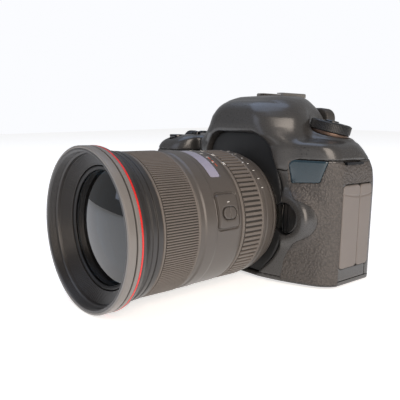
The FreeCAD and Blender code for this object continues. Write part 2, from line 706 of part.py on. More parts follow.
def focus_switch():
    slider = box((-3.4, -83.4, AXIS_Z + 38.4), (3.4, -77.4, AXIS_Z + 41.9))
    return around_axis(slider, -SWITCH_TURN)


def focus_ring():
    bore = TUBE_R + RING_GAP
    return turned([(64.6, bore), (64.6, 39.9), (65.4, 40.3), (88.0, 40.6), (88.7, 40.2),
                   (88.7, bore)])


def front_barrel():
    """Front ring with its stepped outside, filter thread and ridged cone."""
    mouth = LENS_LENGTH
    thread_end = mouth - 0.7 - FILTER_DEPTH
    outside = [(89.0, TUBE_R), (89.0, 40.4), (89.6, 40.9), (92.2, 41.0), (92.6, 40.5),
               (93.4, 40.5), (93.8, 41.3), (95.6, 41.4), (96.0, 41.0), (97.4, 41.2),
               (99.6, 42.2), (102.3, 44.1), (102.3, 43.2), (104.2, 43.2), (104.2, 44.15),
               (106.2, 44.2), (106.4, 43.7), (107.0, 43.7), (107.2, 44.25),
               (mouth - 0.6, LENS_R), (mouth, LENS_R - 0.6)]
    inside = [(mouth, FILTER_R + 0.7), (mouth - 0.7, FILTER_R), (thread_end, FILTER_R),
              (thread_end, 40.2), (104.9, 40.0)]
    ridges = []
    depth, drop = RIDGE_STEP
    for step in range(1, RIDGES + 1):
        distance, radius = 104.9 - depth * step, 40.0 - drop * step
        ridges += [(distance, radius + drop), (distance, radius)]
    end = [(94.4, 33.76), (94.4, TUBE_BORE), (96.2, TUBE_BORE), (96.2, TUBE_R)]
    return turned(outside + inside + ridges + end)


def red_ring():
    return turned([(102.36, 43.25), (102.36, 44.25), (104.14, 44.25), (104.14, 43.25)])


def front_element():
    """Bulging front glass in its black retaining ring, which moves a little as it zooms."""
    radius, edge = FRONT_GLASS_R, 91.5

    def face(distance):
        """How far the dome stands out of the plane of its edge."""
        drop = FRONT_DOME_R - math.sqrt(FRONT_DOME_R ** 2 - distance ** 2)
        full = FRONT_DOME_R - math.sqrt(FRONT_DOME_R ** 2 - radius ** 2)
        return edge + full - drop

    return turned([(84.0, 0), (84.0, 33.4), (93.2, 33.4), (93.2, 32.4), (92.3, radius + 0.1),
                   (edge, radius), ((face(radius / 2), radius / 2), (face(0), 0))])


def zoom_group():
    cell = turned([(20, 29), (20, 33.4), (38, 33.4), (38, 29)])
    glass = turned([(22, 0), (22, 29), (30, 29), ((34.5, 15), (36, 0))])
    return join([cell, glass])


def focus_group():
    cell = turned([(60, 28), (60, 33.4), (76, 33.4), (76, 28)])
    glass = turned([(62, 0), (62, 28), (70, 28), ((73, 14), (74, 0))])
    return join([cell, glass])


def aperture_unit():
    """Fixed diaphragm cell with its blades drawn as one plate round the opening."""
    cell = turned([(46, 28), (46, 33.6), (54, 33.6), (54, 28)])
    blades = turned([(49.6, 11), (49.6, 28.5), (50.4, 28.5), (50.4, 11)])
    return join([cell, blades])


# ---------------------------------------------------------------- all nodes
def nodes():
    parts = covers()
    parts["top_cover"] = parts["top_cover"].fuse(main_dial_axle()).removeSplitter()
    makers = [chassis, front_leather, grip_leather, mount_surround, badge_plate, body_mount,
              fasteners, hot_shoe, pentaprism, eyepiece_lens, eyecup, shutter_frame,
              image_sensor, circuit_board, display_windows, strap_lugs, tripod_socket, battery,
              reflex_mirror, sub_mirror, shutter_curtain, mode_dial, mode_lock_button,
              power_switch, main_dial, shutter_button, top_keys, quick_dial, set_button,
              joystick, card_door, battery_door, lens_bayonet, rear_barrel, zoom_ring,
              window_barrel, distance_window, distance_scale, focus_switch, focus_ring,
              front_barrel, red_ring, front_element, zoom_group, focus_group, aperture_unit]
    for maker in makers:
        parts[maker.__name__] = maker()
    parts["focusing_screen"] = box((-17.8, -22, 62.4), (17.8, 0.8, 64.0))
    parts["lens_release_button"] = release_button()
    for name, (radius, centre) in REAR_KEYS.items():
        parts[name] = rear_key(radius, centre)
    parts["menu_keys"] = Part.makeCompound([rear_key(*key) for key in MENU_KEYS])
    parts["left_keys"] = Part.makeCompound([rear_key(*key) for key in LEFT_KEYS])
    split = TERMINAL_SPLIT_Y
    parts["terminal_cover_front"] = terminal_cover(TERMINAL_Y[0], split - 0.15)
    parts["terminal_cover_rear"] = terminal_cover(split + 0.15, TERMINAL_Y[1])
    return parts


os.makedirs("parts", exist_ok=True)
for name, shape in sorted(nodes().items()):
    shape.exportStep(f"parts/{name}.step")
    room = shape.BoundBox
    print(f"{name:22s} {len(shape.Solids):2d} solids {shape.Volume:10.1f} mm3 "
          f"x {room.XMin:6.1f} {room.XMax:6.1f}  y {room.YMin:6.1f} {room.YMax:6.1f}  "
          f"z {room.ZMin:6.1f} {room.ZMax:6.1f}{'' if shape.isValid() else '  NOT VALID'}")
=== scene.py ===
# %% [markdown]
# # A reflex camera with a wide zoom lens
# The camera body is a set of die-cast covers whose forms flow into each other, and the
# lens is turned metal with rubber sleeves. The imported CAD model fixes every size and
# every moving body; this file gives the pieces their finished shapes and surfaces.

# %% Load the frame
import math
import bmesh
import bpy
import numpy as np
from mathutils import Matrix, Vector


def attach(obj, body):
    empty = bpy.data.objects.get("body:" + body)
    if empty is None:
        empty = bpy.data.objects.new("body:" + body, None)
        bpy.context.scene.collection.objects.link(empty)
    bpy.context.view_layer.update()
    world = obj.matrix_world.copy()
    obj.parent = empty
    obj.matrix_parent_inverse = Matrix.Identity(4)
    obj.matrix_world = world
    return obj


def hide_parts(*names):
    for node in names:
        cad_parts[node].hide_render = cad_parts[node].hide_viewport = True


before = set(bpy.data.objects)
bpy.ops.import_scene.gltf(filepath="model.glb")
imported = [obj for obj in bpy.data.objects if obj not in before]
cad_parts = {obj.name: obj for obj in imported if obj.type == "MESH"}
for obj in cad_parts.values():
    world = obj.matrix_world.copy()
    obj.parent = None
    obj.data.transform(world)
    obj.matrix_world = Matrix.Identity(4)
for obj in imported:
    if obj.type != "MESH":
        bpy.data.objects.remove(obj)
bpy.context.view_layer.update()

# %% [markdown]
# Sizes are in millimetres, as on a drawing, and become metres when a mesh is made.
# They repeat the driving dimensions of the CAD part, so every piece lands on its node.

# %% Driving dimensions
MM = 0.001
AXIS_Z = 40.0            # optical axis over the base
FLANGE_Y = -36.0         # the lens seats here
SIDE_X = 65.4            # wall with the terminal covers
GRIP_X = -86.0
BACK_Y = 22.0
SEAM_Z = 76.0            # joint under the top cover
REAR_SEAM_Y = 14.0       # joint between front and rear covers
BASE_TOP = 3.0
DECK_Z = 88.5
HUMP_Z = 113.6
WALL = 3.2               # covers, with room for the leatherette's pocket
SEAM = 0.12              # half of the gap between two covers
POCKET = 1.5             # depth of a leatherette pocket
WEB_Y = -28.4            # floor of the recess round the mount
MOUNT_R = 32.5
TUBE_R = 35.2            # the lens rings turn on this tube
TUBE_BORE = 33.9
LENS_LENGTH = 111.6
FINE = 0.75     # grid cell of the formed pieces
EDGED = 0.45     # and of those whose outline shows
ROUND = 224       # sides of a turned piece
FULL = 2 * math.pi
print("grid cell", FINE, "mm")

# %% [markdown]
# Materials first. One helper turns a hex colour to linear, and one adds a node with its
# settings and links. Every finish is a small tree: a colour and a roughness that vary a
# little, and a bump at the real size of the grain.

# %% Node helpers
def linear(hex_colour):
    """sRGB hex to linear RGBA."""
    channels = [int(hex_colour[i:i + 2], 16) / 255 for i in (1, 3, 5)]
    return [c / 12.92 if c <= 0.04045 else ((c + 0.055) / 1.055) ** 2.4 for c in channels] + [1.0]


def add(tree, kind, links=(), inputs=(), **settings):
    """Add a node with its settings, its (input, value) pairs and its (socket, input) links."""
    node = tree.nodes.new(kind)
    for name, value in settings.items():
        setattr(node, name, value)
    for name, value in dict(inputs).items():
        node.inputs[name].default_value = value
    for socket, name in links:
        tree.links.new(socket, node.inputs[name])
    return node


def finish(name, colour, shade, rough=(0.4, 0.5), grain=0.4, bump=0.1, pebble=None,
           patch=18.0, **shader):
    """A surface between two colours and two roughnesses with a fine grain.

    grain, pebble and patch are sizes in millimetres; pebble lays rounded cells over the grain, with
    painted shade between them and a lighter tone on their crowns.
    """
    material = bpy.data.materials.new(name)
    material.use_nodes = True
    tree = material.node_tree
    tree.nodes.clear()
    place = add(tree, "ShaderNodeTexCoord").outputs["Object"]
    broad = add(tree, "ShaderNodeTexNoise", [(place, "Vector")],
                {"Scale": 1 / (patch * MM), "Detail": 3.0})
    fine = add(tree, "ShaderNodeTexNoise", [(place, "Vector")],
               {"Scale": 1 / (grain * MM), "Detail": 2.0})
    mix = add(tree, "ShaderNodeMix", [(broad.outputs[0], 0)],
              {6: linear(colour), 7: linear(shade)}, data_type="RGBA")
    tone, height = mix.outputs[2], fine.outputs[0]
    if pebble:
        cells = add(tree, "ShaderNodeTexVoronoi", [(place, "Vector")],
                    {"Scale": 1 / (pebble * MM), "Randomness": 0.9}, feature="SMOOTH_F1")
        dome = add(tree, "ShaderNodeMapRange", [(cells.outputs["Distance"], 0)],
                   {1: 0.1, 2: 0.75, 3: 1.0, 4: 0.0}, interpolation_type="SMOOTHSTEP")
        height = add(tree, "ShaderNodeMath", [(fine.outputs[0], 0), (dome.outputs[0], 2)],
                     {1: 0.25}, operation="MULTIPLY_ADD").outputs[0]
        # Painted light and shade on the pebbles: the tone is darker in the crevices between them and
        # lighter on their crowns.
        pebble_light_and_shade = add(tree, "ShaderNodeMapRange", [(dome.outputs[0], 0)],
                   {1: 0.0, 2: 1.0, 3: 0.7, 4: 1.12})
        tone = add(tree, "ShaderNodeVectorMath", [(tone, 0), (pebble_light_and_shade.outputs[0], "Scale")],
                   operation="SCALE").outputs[0]
    gloss = add(tree, "ShaderNodeMapRange", [(fine.outputs[0], 0)],
                {1: 0.3, 2: 0.7, 3: rough[0], 4: rough[1]})
    relief = add(tree, "ShaderNodeBump", [(height, "Height")],
                 {"Strength": bump, "Distance": 0.3 * (pebble or grain) * MM})
    skin = add(tree, "ShaderNodeBsdfPrincipled",
               [(tone, "Base Color"), (gloss.outputs[0], "Roughness"), (relief.outputs[0], "Normal")],
               {key.replace("_", " "): value for key, value in shader.items()})
    add(tree, "ShaderNodeOutputMaterial", [(skin.outputs[0], "Surface")])
    return material


print("helpers ready")

# %% [markdown]
# The finishes of the body: satin paint with a faint crinkle on magnesium, pebbled rubber
# leatherette, moulded and polished ABS, and the smooth rubber of the doors and the eyecup.

# %% Finishes of the body
# Powder-coated magnesium: satin, with a very fine crinkle that softens highlights.
body_paint = finish("satin_paint_on_magnesium", "#363534", "#302f2e", (0.25, 0.33),
                    grain=0.5, bump=0.09, Coat_Weight=0.3, Coat_Roughness=0.2)
# Rubber leatherette: low pebbles, drawn at 1.2 mm so that they show, dull with soft glints, and
# painted shade in the crevices between the pebbles.
leatherette = finish("pebbled_rubber_leatherette", "#48433f", "#3e3a37", (0.46, 0.6),
                     grain=0.4, bump=0.95, pebble=1.2)
# Moulded ABS: spark-eroded texture, nearly matte.
black_abs = finish("moulded_black_abs", "#1d1e20", "#17181a", (0.4, 0.5), bump=0.1)
# The wall round the mount is flocked dull, so that it throws no light into the lens.
dull_abs = finish("dull_black_abs", "#131415", "#0d0d0e", (0.55, 0.65), bump=0.15)
# Polished ABS, for the keys that a finger rests on.
gloss_abs = finish("polished_black_abs", "#0c0d0f", "#090a0b", (0.12, 0.18), grain=0.6,
                   bump=0.02, Coat_Weight=0.4, Coat_Roughness=0.08)
# Thermoplastic rubber: warm grey, smooth, slightly waxy.
door_rubber = finish("smooth_door_rubber", "#6d6763", "#655f5b", (0.48, 0.56), grain=0.3,
                     bump=0.08)
cup_rubber = finish("eyecup_rubber", "#34322f", "#2b2927", (0.55, 0.65), bump=0.12)
# Dark teal gloss plate, left blank.
badge_gloss = finish("teal_gloss_plate", "#132b35", "#10252e", (0.1, 0.16), grain=1.0, bump=0.01,
                     Coat_Weight=0.5, Coat_Roughness=0.05)
# Acrylic over a dark display: deep and shiny.
window_acrylic = finish("acrylic_over_dark_display", "#0b0d10", "#0e1114", (0.04, 0.08),
                        grain=2.0, bump=0.0, Coat_Weight=0.6, Coat_Roughness=0.03)
white_ink = finish("white_screen_print", "#f0eee8", "#e4e2dc", (0.5, 0.6), bump=0.02)

# %% [markdown]
# Metals and inner parts. A metal keeps the default IOR; its colour is its reflectance.

# %% Finishes of the metals and inner parts
# Stainless steel, machined: a fine sheen with faint tool marks.
steel = finish("machined_stainless_steel", "#b9b6b2", "#a9a6a2", (0.22, 0.34), grain=0.5,
               bump=0.05, Metallic=1.0)
# Spring steel of the shoe, painted grey and rubbed by use.
shoe_steel = finish("rubbed_shoe_steel", "#8f8b86", "#7a7671", (0.3, 0.45), grain=0.8,
                    bump=0.05, Metallic=0.75)
black_oxide = finish("black_oxide_steel", "#26272a", "#1d1e20", (0.3, 0.42), bump=0.05,
                     Metallic=0.9)
bronze_ring = finish("bronze_plated_ring", "#5f4e44", "#54453c", (0.3, 0.4), bump=0.03,
                     Metallic=0.8)
die_casting = finish("raw_die_casting", "#8b8a88", "#7a7977", (0.45, 0.6), grain=0.6, bump=0.25,
                     Metallic=0.9)
silvered = finish("front_silvered_mirror", "#e4e7e9", "#dfe2e4", (0.02, 0.04), grain=4.0,
                  bump=0.0, Metallic=1.0)
blackened = finish("blackened_carbon_blades", "#111112", "#0d0d0e", (0.35, 0.45), bump=0.08)
sensor_glass = finish("sensor_cover_glass", "#16302b", "#1f3a2f", (0.03, 0.06), grain=3.0,
                      bump=0.0, Coat_Weight=0.8, Coat_Roughness=0.02)
laminate = finish("green_circuit_laminate", "#0f4a2a", "#0c3d22", (0.25, 0.4), grain=1.2,
                  bump=0.2)

# %% [markdown]
# Finishes of the lens. The barrels carry a warm charcoal paint with a silky sheen, the
# sleeves are ribbed rubber, and the ring at the front is red enamel.

# %% Finishes of the lens
barrel_paint = finish("silky_barrel_paint", "#4b4641", "#46413d", (0.33, 0.42), grain=0.4,
                      bump=0.08, Coat_Weight=0.12, Coat_Roughness=0.3)
hood_paint = finish("dark_barrel_paint", "#2c2a29", "#262423", (0.3, 0.38), grain=0.4,
                    bump=0.08, Coat_Weight=0.15, Coat_Roughness=0.25)
anodised = finish("black_anodised_aluminium", "#1f1e1e", "#191818", (0.3, 0.4), grain=0.3,
                  bump=0.05, Metallic=0.4)
# Rubber of the ribs and the lips, lighter than the groove rubber below: the lighter tone is painted
# light.
rib_lit_rubber = finish("ribbed_rubber_lit_copy", "#625b55", "#57514b", (0.48, 0.58), grain=0.35,
                       bump=0.1)
# The floor of the grooves between the ribs: the same rubber made darker, as painted shade.
groove_shade_rubber = finish("rubber_in_the_grooves_shaded_copy", "#2d2926", "#25221f", (0.6, 0.7),
                       grain=0.35, bump=0.1)
# Lighter paint of the rim; on the band in front of the red ring the same light tone is a painted
# reflection.
rim_and_reflection_paint = finish("light_rim_and_reflection_paint", "#6f6b67", "#67635f", (0.3, 0.38), grain=0.4, bump=0.06,
                   Coat_Weight=0.2, Coat_Roughness=0.2)
red_enamel = finish("red_enamel", "#cf150e", "#bd130d", (0.25, 0.3), grain=0.5, bump=0.02,
                    Coat_Weight=0.4, Coat_Roughness=0.1)
orange_ink = finish("orange_screen_print", "#e0542a", "#c84a26", (0.5, 0.6), bump=0.02)
# The scale drum under the window, painted a pale lilac grey.
scale_paint = finish("pale_scale_paint", "#a9a4b4", "#9b96a6", (0.3, 0.4), grain=0.6, bump=0.02)
# Ground and coated glass.
optical_glass = finish("coated_optical_glass", "#f2f7f6", "#eef4f3", (0.0, 0.012), grain=6.0,
                       bump=0.0, IOR=1.6, Transmission_Weight=1.0)
# Front glass: its nearly black tint is painted shade for the dark inside of the lens; the coatings
# give it a blue-green cast.
dark_painted_front_glass = finish("front_element_glass_painted_dark", "#25323a", "#223038", (0.0, 0.012),
                            grain=6.0, bump=0.0, IOR=1.75, Transmission_Weight=1.0)
clear_acrylic = finish("clear_acrylic_window", "#a9a5b6", "#a29eb0", (0.06, 0.1), grain=3.0,
                       bump=0.0, IOR=1.49, Transmission_Weight=0.3)
print(len(bpy.data.materials), "finishes")

# %% [markdown]
# Every CAD node keeps its shape unless a piece below replaces it, and takes its real finish.

# %% Finishes on the CAD nodes
NODE_FINISH = {
    "chassis": die_casting, "body_mount": steel, "hot_shoe": shoe_steel, "battery": black_abs,
    "pentaprism": optical_glass, "focusing_screen": optical_glass, "eyepiece_lens": optical_glass,
    "shutter_frame": blackened, "shutter_curtain": blackened, "image_sensor": sensor_glass,
    "circuit_board": laminate, "strap_lugs": black_oxide, "tripod_socket": steel,
    "display_windows": window_acrylic, "reflex_mirror": silvered, "sub_mirror": silvered,
    "lens_bayonet": steel, "aperture_unit": blackened, "zoom_group": optical_glass,
    "focus_group": optical_glass, "distance_window": clear_acrylic,
    "distance_scale": scale_paint, "focus_switch": anodised,
}
for name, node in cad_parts.items():
    node.data.materials.clear()
    node.data.materials.append(NODE_FINISH.get(name, black_abs))
print(len(NODE_FINISH), "nodes with their own finish")

# %% [markdown]
# Formed pieces are fields: a function that is negative inside the piece and positive
# outside, close to the distance in millimetres. Fields make soft unions and soft edges
# easy, which is how a clay model of a camera is shaped. An outline is a closed path in a
# plane, and its distance is worked out once on a fine grid and looked up after that.

# %% Outlines and soft unions
def arc_points(start, middle, end, count=12):
    """Points after start along the arc through middle to end."""
    a, b, c = (complex(*p) for p in (start, middle, end))
    w = (c - a) / (b - a)
    centre = (b - a) * (w - abs(w) ** 2) / (2j * w.imag) + a
    first, last = np.angle(a - centre), np.angle(c - centre)
    via = (np.angle(b - centre) - first) % (2 * math.pi)
    sweep = (last - first) % (2 * math.pi)
    if via > sweep:
        sweep -= 2 * math.pi
    turns = first + sweep * np.arange(1, count + 1) / count
    spots = centre + abs(a - centre) * np.exp(1j * turns)
    return [(p.real, p.imag) for p in spots]


def path_points(path):
    """Points of a path; a nested pair is an arc's middle and end."""
    points = [path[0]]
    for step in path[1:]:
        if isinstance(step[0], tuple):
            points += arc_points(points[-1], *step)
        else:
            points.append(step)
    return points


def mirrored(half):
    """Close a path that starts and ends on the middle line with its own mirror image."""
    points = path_points(half)
    return points + [(-a, b) for a, b in reversed(points) if a > 0]


def outline(path, cell=0.5, margin=26.0):
    """Signed distance to a closed path, as a function of two coordinates."""
    points = np.array(path_points(path))
    low = points.min(0) - margin
    count = np.ceil((points.max(0) + margin - low) / cell).astype(int) + 1
    a, b = np.meshgrid(*(low[i] + cell * np.arange(count[i]) for i in (0, 1)), indexing="ij")
    nearest, inside = np.full(a.shape, 1e9), np.zeros(a.shape, bool)
    for (p, q), (r, s) in zip(points, np.roll(points, -1, 0)):
        run, rise = r - p, s - q
        length = run * run + rise * rise
        if length < 1e-9:
            continue
        t = np.clip(((a - p) * run + (b - q) * rise) / length, 0, 1)
        nearest = np.minimum(nearest, (a - p - t * run) ** 2 + (b - q - t * rise) ** 2)
        if abs(rise) > 1e-9:
            inside ^= ((q > b) != (s > b)) & (a < p + (b - q) * run / rise)
    table = np.where(inside, -1, 1) * np.sqrt(nearest)

    def distance(u, v):
        i = np.clip((u - low[0]) / cell, 0, count[0] - 1.001)
        j = np.clip((v - low[1]) / cell, 0, count[1] - 1.001)
        m, n = i.astype(int), j.astype(int)
        f, g = i - m, j - n
        return ((table[m, n] * (1 - f) + table[m + 1, n] * f) * (1 - g)
                + (table[m, n + 1] * (1 - f) + table[m + 1, n + 1] * f) * g)
    return distance


def common(a, b, k=0.5):
    """Where both fields are inside, with an edge softened over k."""
    h = np.clip(0.5 + 0.5 * (a - b) / k, 0, 1)
    return b + (a - b) * h + k * h * (1 - h)


def union(a, b, k=0.5):
    return -common(-a, -b, k)


def less(a, b, k=0.5):
    return common(a, -b, k)


def block(x, y, z, low, high, k=0.5):
    """Box with softened edges."""
    sides = [low[0] - x, x - high[0], low[1] - y, y - high[1], low[2] - z, z - high[2]]
    field = sides[0]
    for side in sides[1:]:
        field = common(field, side, k)
    return field


def plate(u, v, u0, u1, v0, v1, r):
    """Distance to a rectangle with round corners."""
    a = abs(u - (u0 + u1) / 2) - (u1 - u0) / 2 + r
    b = abs(v - (v0 + v1) / 2) - (v1 - v0) / 2 + r
    return np.hypot(np.maximum(a, 0), np.maximum(b, 0)) + np.minimum(np.maximum(a, b), 0) - r


print("fields ready")

# %% [markdown]
# A surface net turns a field into quads. One point goes into every grid cell that the
# surface crosses, at the mean of its edge crossings, and two steps along the field's slope
# then pull each point onto the surface itself. The mesh is closed by its nature.

# %% Surface net
CORNERS = [(i, j, k) for i in (0, 1) for j in (0, 1) for k in (0, 1)]
EDGES = [(a, b) for a in range(8) for b in range(a + 1, 8)
         if sum(abs(m - n) for m, n in zip(CORNERS[a], CORNERS[b])) == 1]


def net(field, low, high, cell):
    """Quads on the surface of a field inside a box: points in millimetres, and faces."""
    low = np.array(low, float) - 1.5 * cell
    count = np.ceil((np.array(high) + 1.5 * cell - low) / cell).astype(int) + 1
    axes = [(low[i] + cell * np.arange(count[i])).astype(np.float32) for i in range(3)]
    grid = np.meshgrid(*axes, indexing="ij")
    value = np.asarray(field(*grid), np.float32)
    inside = value < 0
    tally = sum(inside[i:count[0] - 1 + i, j:count[1] - 1 + j, k:count[2] - 1 + k].astype(np.int8)
                for i, j, k in CORNERS)
    cells = np.argwhere((tally > 0) & (tally < 8))
    corner = np.stack([value[tuple((cells + c).T)] for c in CORNERS], 1)
    total, hits = np.zeros((len(cells), 3)), np.zeros(len(cells))
    for a, b in EDGES:
        cross = (corner[:, a] < 0) != (corner[:, b] < 0)
        t = np.where(cross, corner[:, a] / np.where(cross, corner[:, a] - corner[:, b], 1), 0)
        start, step = np.array(CORNERS[a]), np.array(CORNERS[b]) - np.array(CORNERS[a])
        total += cross[:, None] * (start + t[:, None] * step)
        hits += cross
    points = low + cell * (cells + total / hits[:, None])
    number = np.full(value.shape, -1, np.int32)
    number[tuple(cells.T)] = np.arange(len(cells))
    faces = []
    for axis in range(3):
        others = [i for i in range(3) if i != axis]
        near = [slice(1, -1)] * 3
        near[axis] = slice(0, -1)
        far = list(near)
        far[axis] = slice(1, None)
        flips = np.argwhere(inside[tuple(near)] != inside[tuple(far)])
        flips += [0 if i == axis else 1 for i in range(3)]
        ring = []
        for back in ((0, 0), (1, 0), (1, 1), (0, 1)):
            spot = flips.copy()
            spot[:, others[0]] -= back[0]
            spot[:, others[1]] -= back[1]
            ring.append(number[tuple(spot.T)])
        quads = np.stack(ring, 1)
        outward = inside[tuple(flips.T)] == (axis != 1)
        quads[~outward] = quads[~outward][:, ::-1]
        faces.append(quads)
    return points, np.concatenate(faces)


def settle(field, points, cell, steps=2):
    """Move points along the field's slope onto its surface."""
    for _ in range(steps):
        here = field(*points.T)
        reach = 0.05 * cell
        slope = np.stack([(field(*(points + reach * np.eye(3)[i]).T) - here) / reach
                          for i in range(3)], 1)
        size = np.maximum((slope ** 2).sum(1), 0.05)
        move = -(here / size)[:, None] * slope
        length = np.maximum(np.linalg.norm(move, axis=1), 1e-9)
        points = points + move * np.minimum(1, 0.45 * cell / length)[:, None]
    return points


print(len(EDGES), "cell edges")

# %% [markdown]
# A piece is finished by one function. It makes the mesh in metres, shades it smooth apart
# from real edges, and says which body it rides on and which CAD nodes it stands for.

# %% Finishing a piece
def piece(name, mesh, body, material=None, nodes=(), sharp=38):
    """Object from a mesh in metres, riding on a body."""
    made = bpy.data.objects.new(name, mesh)
    bpy.context.scene.collection.objects.link(made)
    if material:
        mesh.materials.clear()
        mesh.materials.append(material)
    mesh.shade_smooth()
    mesh.set_sharp_from_angle(angle=math.radians(sharp))
    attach(made, body)
    if nodes:
        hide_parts(*([nodes] if isinstance(nodes, str) else nodes))
    return made


def mesh_of(name, points, faces):
    """Mesh in metres from points in millimetres."""
    mesh = bpy.data.meshes.new(name)
    mesh.from_pydata((np.asarray(points) * MM).tolist(), [], [list(map(int, f)) for f in faces])
    mesh.validate()
    return mesh


def formed(name, field, low, high, body, material, nodes=(), cell=FINE, sharp=50):
    """Piece whose surface is a field's."""
    points, faces = net(field, low, high, cell)
    points = settle(field, points, cell)
    print(name, len(faces) * 2, "triangles")
    return piece(name, mesh_of(name, points, faces), body, material, nodes, sharp)


print("piece makers ready")

# %% [markdown]
# The body's form. Seen from above it is one outline with the deep grip at one end; the top
# plate is an arch in two directions; the viewfinder hump swells out of it in a soft saddle.
# A round bulge carries the lens release, and a low pedestal carries the mode dial.

# %% Outlines of the body
PLAN = outline([(-22, -36.2), (20, -36.2), ((39.4, -31.6), (55, -25.2)),
                ((61.2, -20.9), (SIDE_X, -14.4)), (SIDE_X, 17), ((63.9, 20.5), (60.4, BACK_Y)),
                (-81, BACK_Y), ((-84.5, 20.5), (GRIP_X, 17)), (GRIP_X, -26),
                ((-83.6, -38.8), (-71, -43)), ((-58, -40), (-51, -29)),
                ((-48.6, -25.6), (-45, -24.5)), (-43, -24.5), ((-40.8, -32.6), (-33, -35.9)),
                (-22, -36.2)])
# The deck's arch across the camera and from front to back.
DECK_FRONT = outline([(84, -12), (84, 50), (SIDE_X, 76.5), ((62.0, 83.0), (54.5, 86.8)), (30, 90),
                      (10, 90), (-40, DECK_Z), (-64, DECK_Z), ((-77, 84.6), (GRIP_X, 76)),
                      (-104, 50), (-104, -12), (84, -12)])
DECK_SIDE = outline([(-60, -12), (-60, 56), (-43.4, 75), (-42, 78.5),
                     ((-37.4, 83.8), (-28, 87.6)), (-16, DECK_Z), (-14, 90), (18, 90),
                     ((21, 88.6), (BACK_Y, 85.5)), (40, 60), (40, -12), (-60, -12)])
CROWN_Z = HUMP_Z + 1.2   # the hump stands a little over the shoe's seat
HUMP_ARCH = outline(mirrored([(0, CROWN_Z), (13, CROWN_Z), ((25.5, 112), (34, 105)),
                              ((40.2, 98), (44, 88)), (46, 66), (0, 66)]))
HUMP_SIDE = outline([(-42, 88), (-42, 96), ((-38.8, 105), (-28, 111.4)), (-12, 121), (12, 124),
                     (18, 114.5), ((22.2, 110.4), (24, 105)), (24, 76), (-36, 70), (-36, 84),
                     (-42, 88)])
HUMP_PLAN = outline(mirrored([(0, -42.2), (17, -42.2), ((28.6, -38.2), (36.6, -28)),
                              ((38.2, -17), (32.5, -6)), ((27.6, 4), (26, 26)), (0, 26)]))
# The hump's corners seen along the diagonals: how far they reach at each height.
FRONT_CORNER = outline([(-90, 50), (51, 50), (50, 89), (46, 95), (44, 100.6), (41.6, 104.2),
                        (39.8, 106.4), (37.2, 109), (33, 112.2), (26, 115), (-90, 122), (-90, 50)])
REAR_CORNER = outline([(-90, 50), (42, 50), (40, 88), (35.5, 96), (30.5, 102), (26.2, 106.7),
                       (21.8, 110.8), (18.5, 114), (10, 122), (-90, 122), (-90, 50)])
# The same for the shoulder in front of the mode dial.
SHOULDER = outline([(-200, -40), (80, -40), (67.5, 60), (64.3, 70.1), (62.0, 74.9), (60.4, 77.5),
                    (57.8, 81.2), (54.4, 85.2), (44, 93), (-200, 120), (-200, -40)])
RECESS = outline(mirrored([(0, 90.8), (15.5, 90.8), ((23.6, 86.6), (28.8, 76.5)),
                           ((34.2, 61), (36.8, 42)), ((35.2, 25), (29, 12.5)), (19.5, 2), (0, 2)]))
BULGE = (15.0, (40.6, AXIS_Z))   # round the lens release: radius and centre in x and z
BULGE_Y = -34.6                  # its face
DIAL_FOOT_R = 14.3               # pedestal of the mode dial
SHOE_SEAT = (12.4, -8.6)         # half width and front end
DIAL_BASE = np.array([40.7, 4.0, 92.5])
DIAL_AXIS = np.array([0.195, 0.112, 0.974]) / math.hypot(0.195, 0.112, 0.974)
print("body outlines ready")


# %% Form of the body
def dial_place(x, y, z):
    """Height along the mode dial's axis and distance from it."""
    u, v, w = x - DIAL_BASE[0], y - DIAL_BASE[1], z - DIAL_BASE[2]
    height = u * DIAL_AXIS[0] + v * DIAL_AXIS[1] + w * DIAL_AXIS[2]
    across = np.sqrt(np.maximum(u * u + v * v + w * w - height * height, 1e-6))
    return height, across


def hump_form(x, y, z):
    """The viewfinder hump with the flat seat of the accessory shoe."""
    hump = common(common(HUMP_ARCH(x, z), HUMP_SIDE(y, z), 5), HUMP_PLAN(x, y), 7)
    hump = common(hump, FRONT_CORNER(0.672 * abs(x) - 0.741 * y, z), 4)
    hump = common(hump, REAR_CORNER(0.788 * abs(x) + 0.615 * y, z), 4)
    seat = common(common(abs(x) - SHOE_SEAT[0], SHOE_SEAT[1] - y, 0.5), HUMP_Z - z, 0.3)
    return less(hump, seat, 0.5)


def body_form(x, y, z):
    """The whole body without its holes: negative inside."""
    plan = PLAN(x, y)
    shoulder = common(common(plan, DECK_FRONT(x, z), 5), DECK_SIDE(y, z), 5)
    shoulder = common(shoulder, SHOULDER(0.845 * x + 0.535 * y, z), 3)
    whole = union(shoulder, hump_form(x, y, z), 8)
    height, across = dial_place(x, y, z)
    pedestal = common(across - DIAL_FOOT_R, common(height + 2.6, -height - 14, 1), 1.5)
    whole = union(whole, pedestal, 5)
    radius, (cx, cz) = BULGE
    bulge = common(np.hypot(x - cx, z - cz) - radius, np.maximum(BULGE_Y - y, y + 24), 5)
    whole = union(whole, bulge, 6)
    well = common(RECESS(x, z), y - WEB_Y, 1)
    whole = less(whole, well, 2.2)
    return common(whole, -z, 1.2)


sample = body_form(np.array([0.0]), np.array([0.0]), np.array([60.0]))
print("depth at the middle of the body", round(float(sample[0]), 1), "mm")

# %% [markdown]
# The covers are the skin of that form, cut along their seams. The top cover has a rounded
# tongue that reaches down beside the badge. Pockets take the leatherette, the badge and the
# rubber doors, and every control gets its hole.

# %% Seams and pockets
TONGUE = outline([(25, 80), (26.4, 76), ((29.4, 70.6), (34.5, 69.3)), ((38.6, 69.4), (40.2, 71)),
                  (44, 80), (25, 80)])
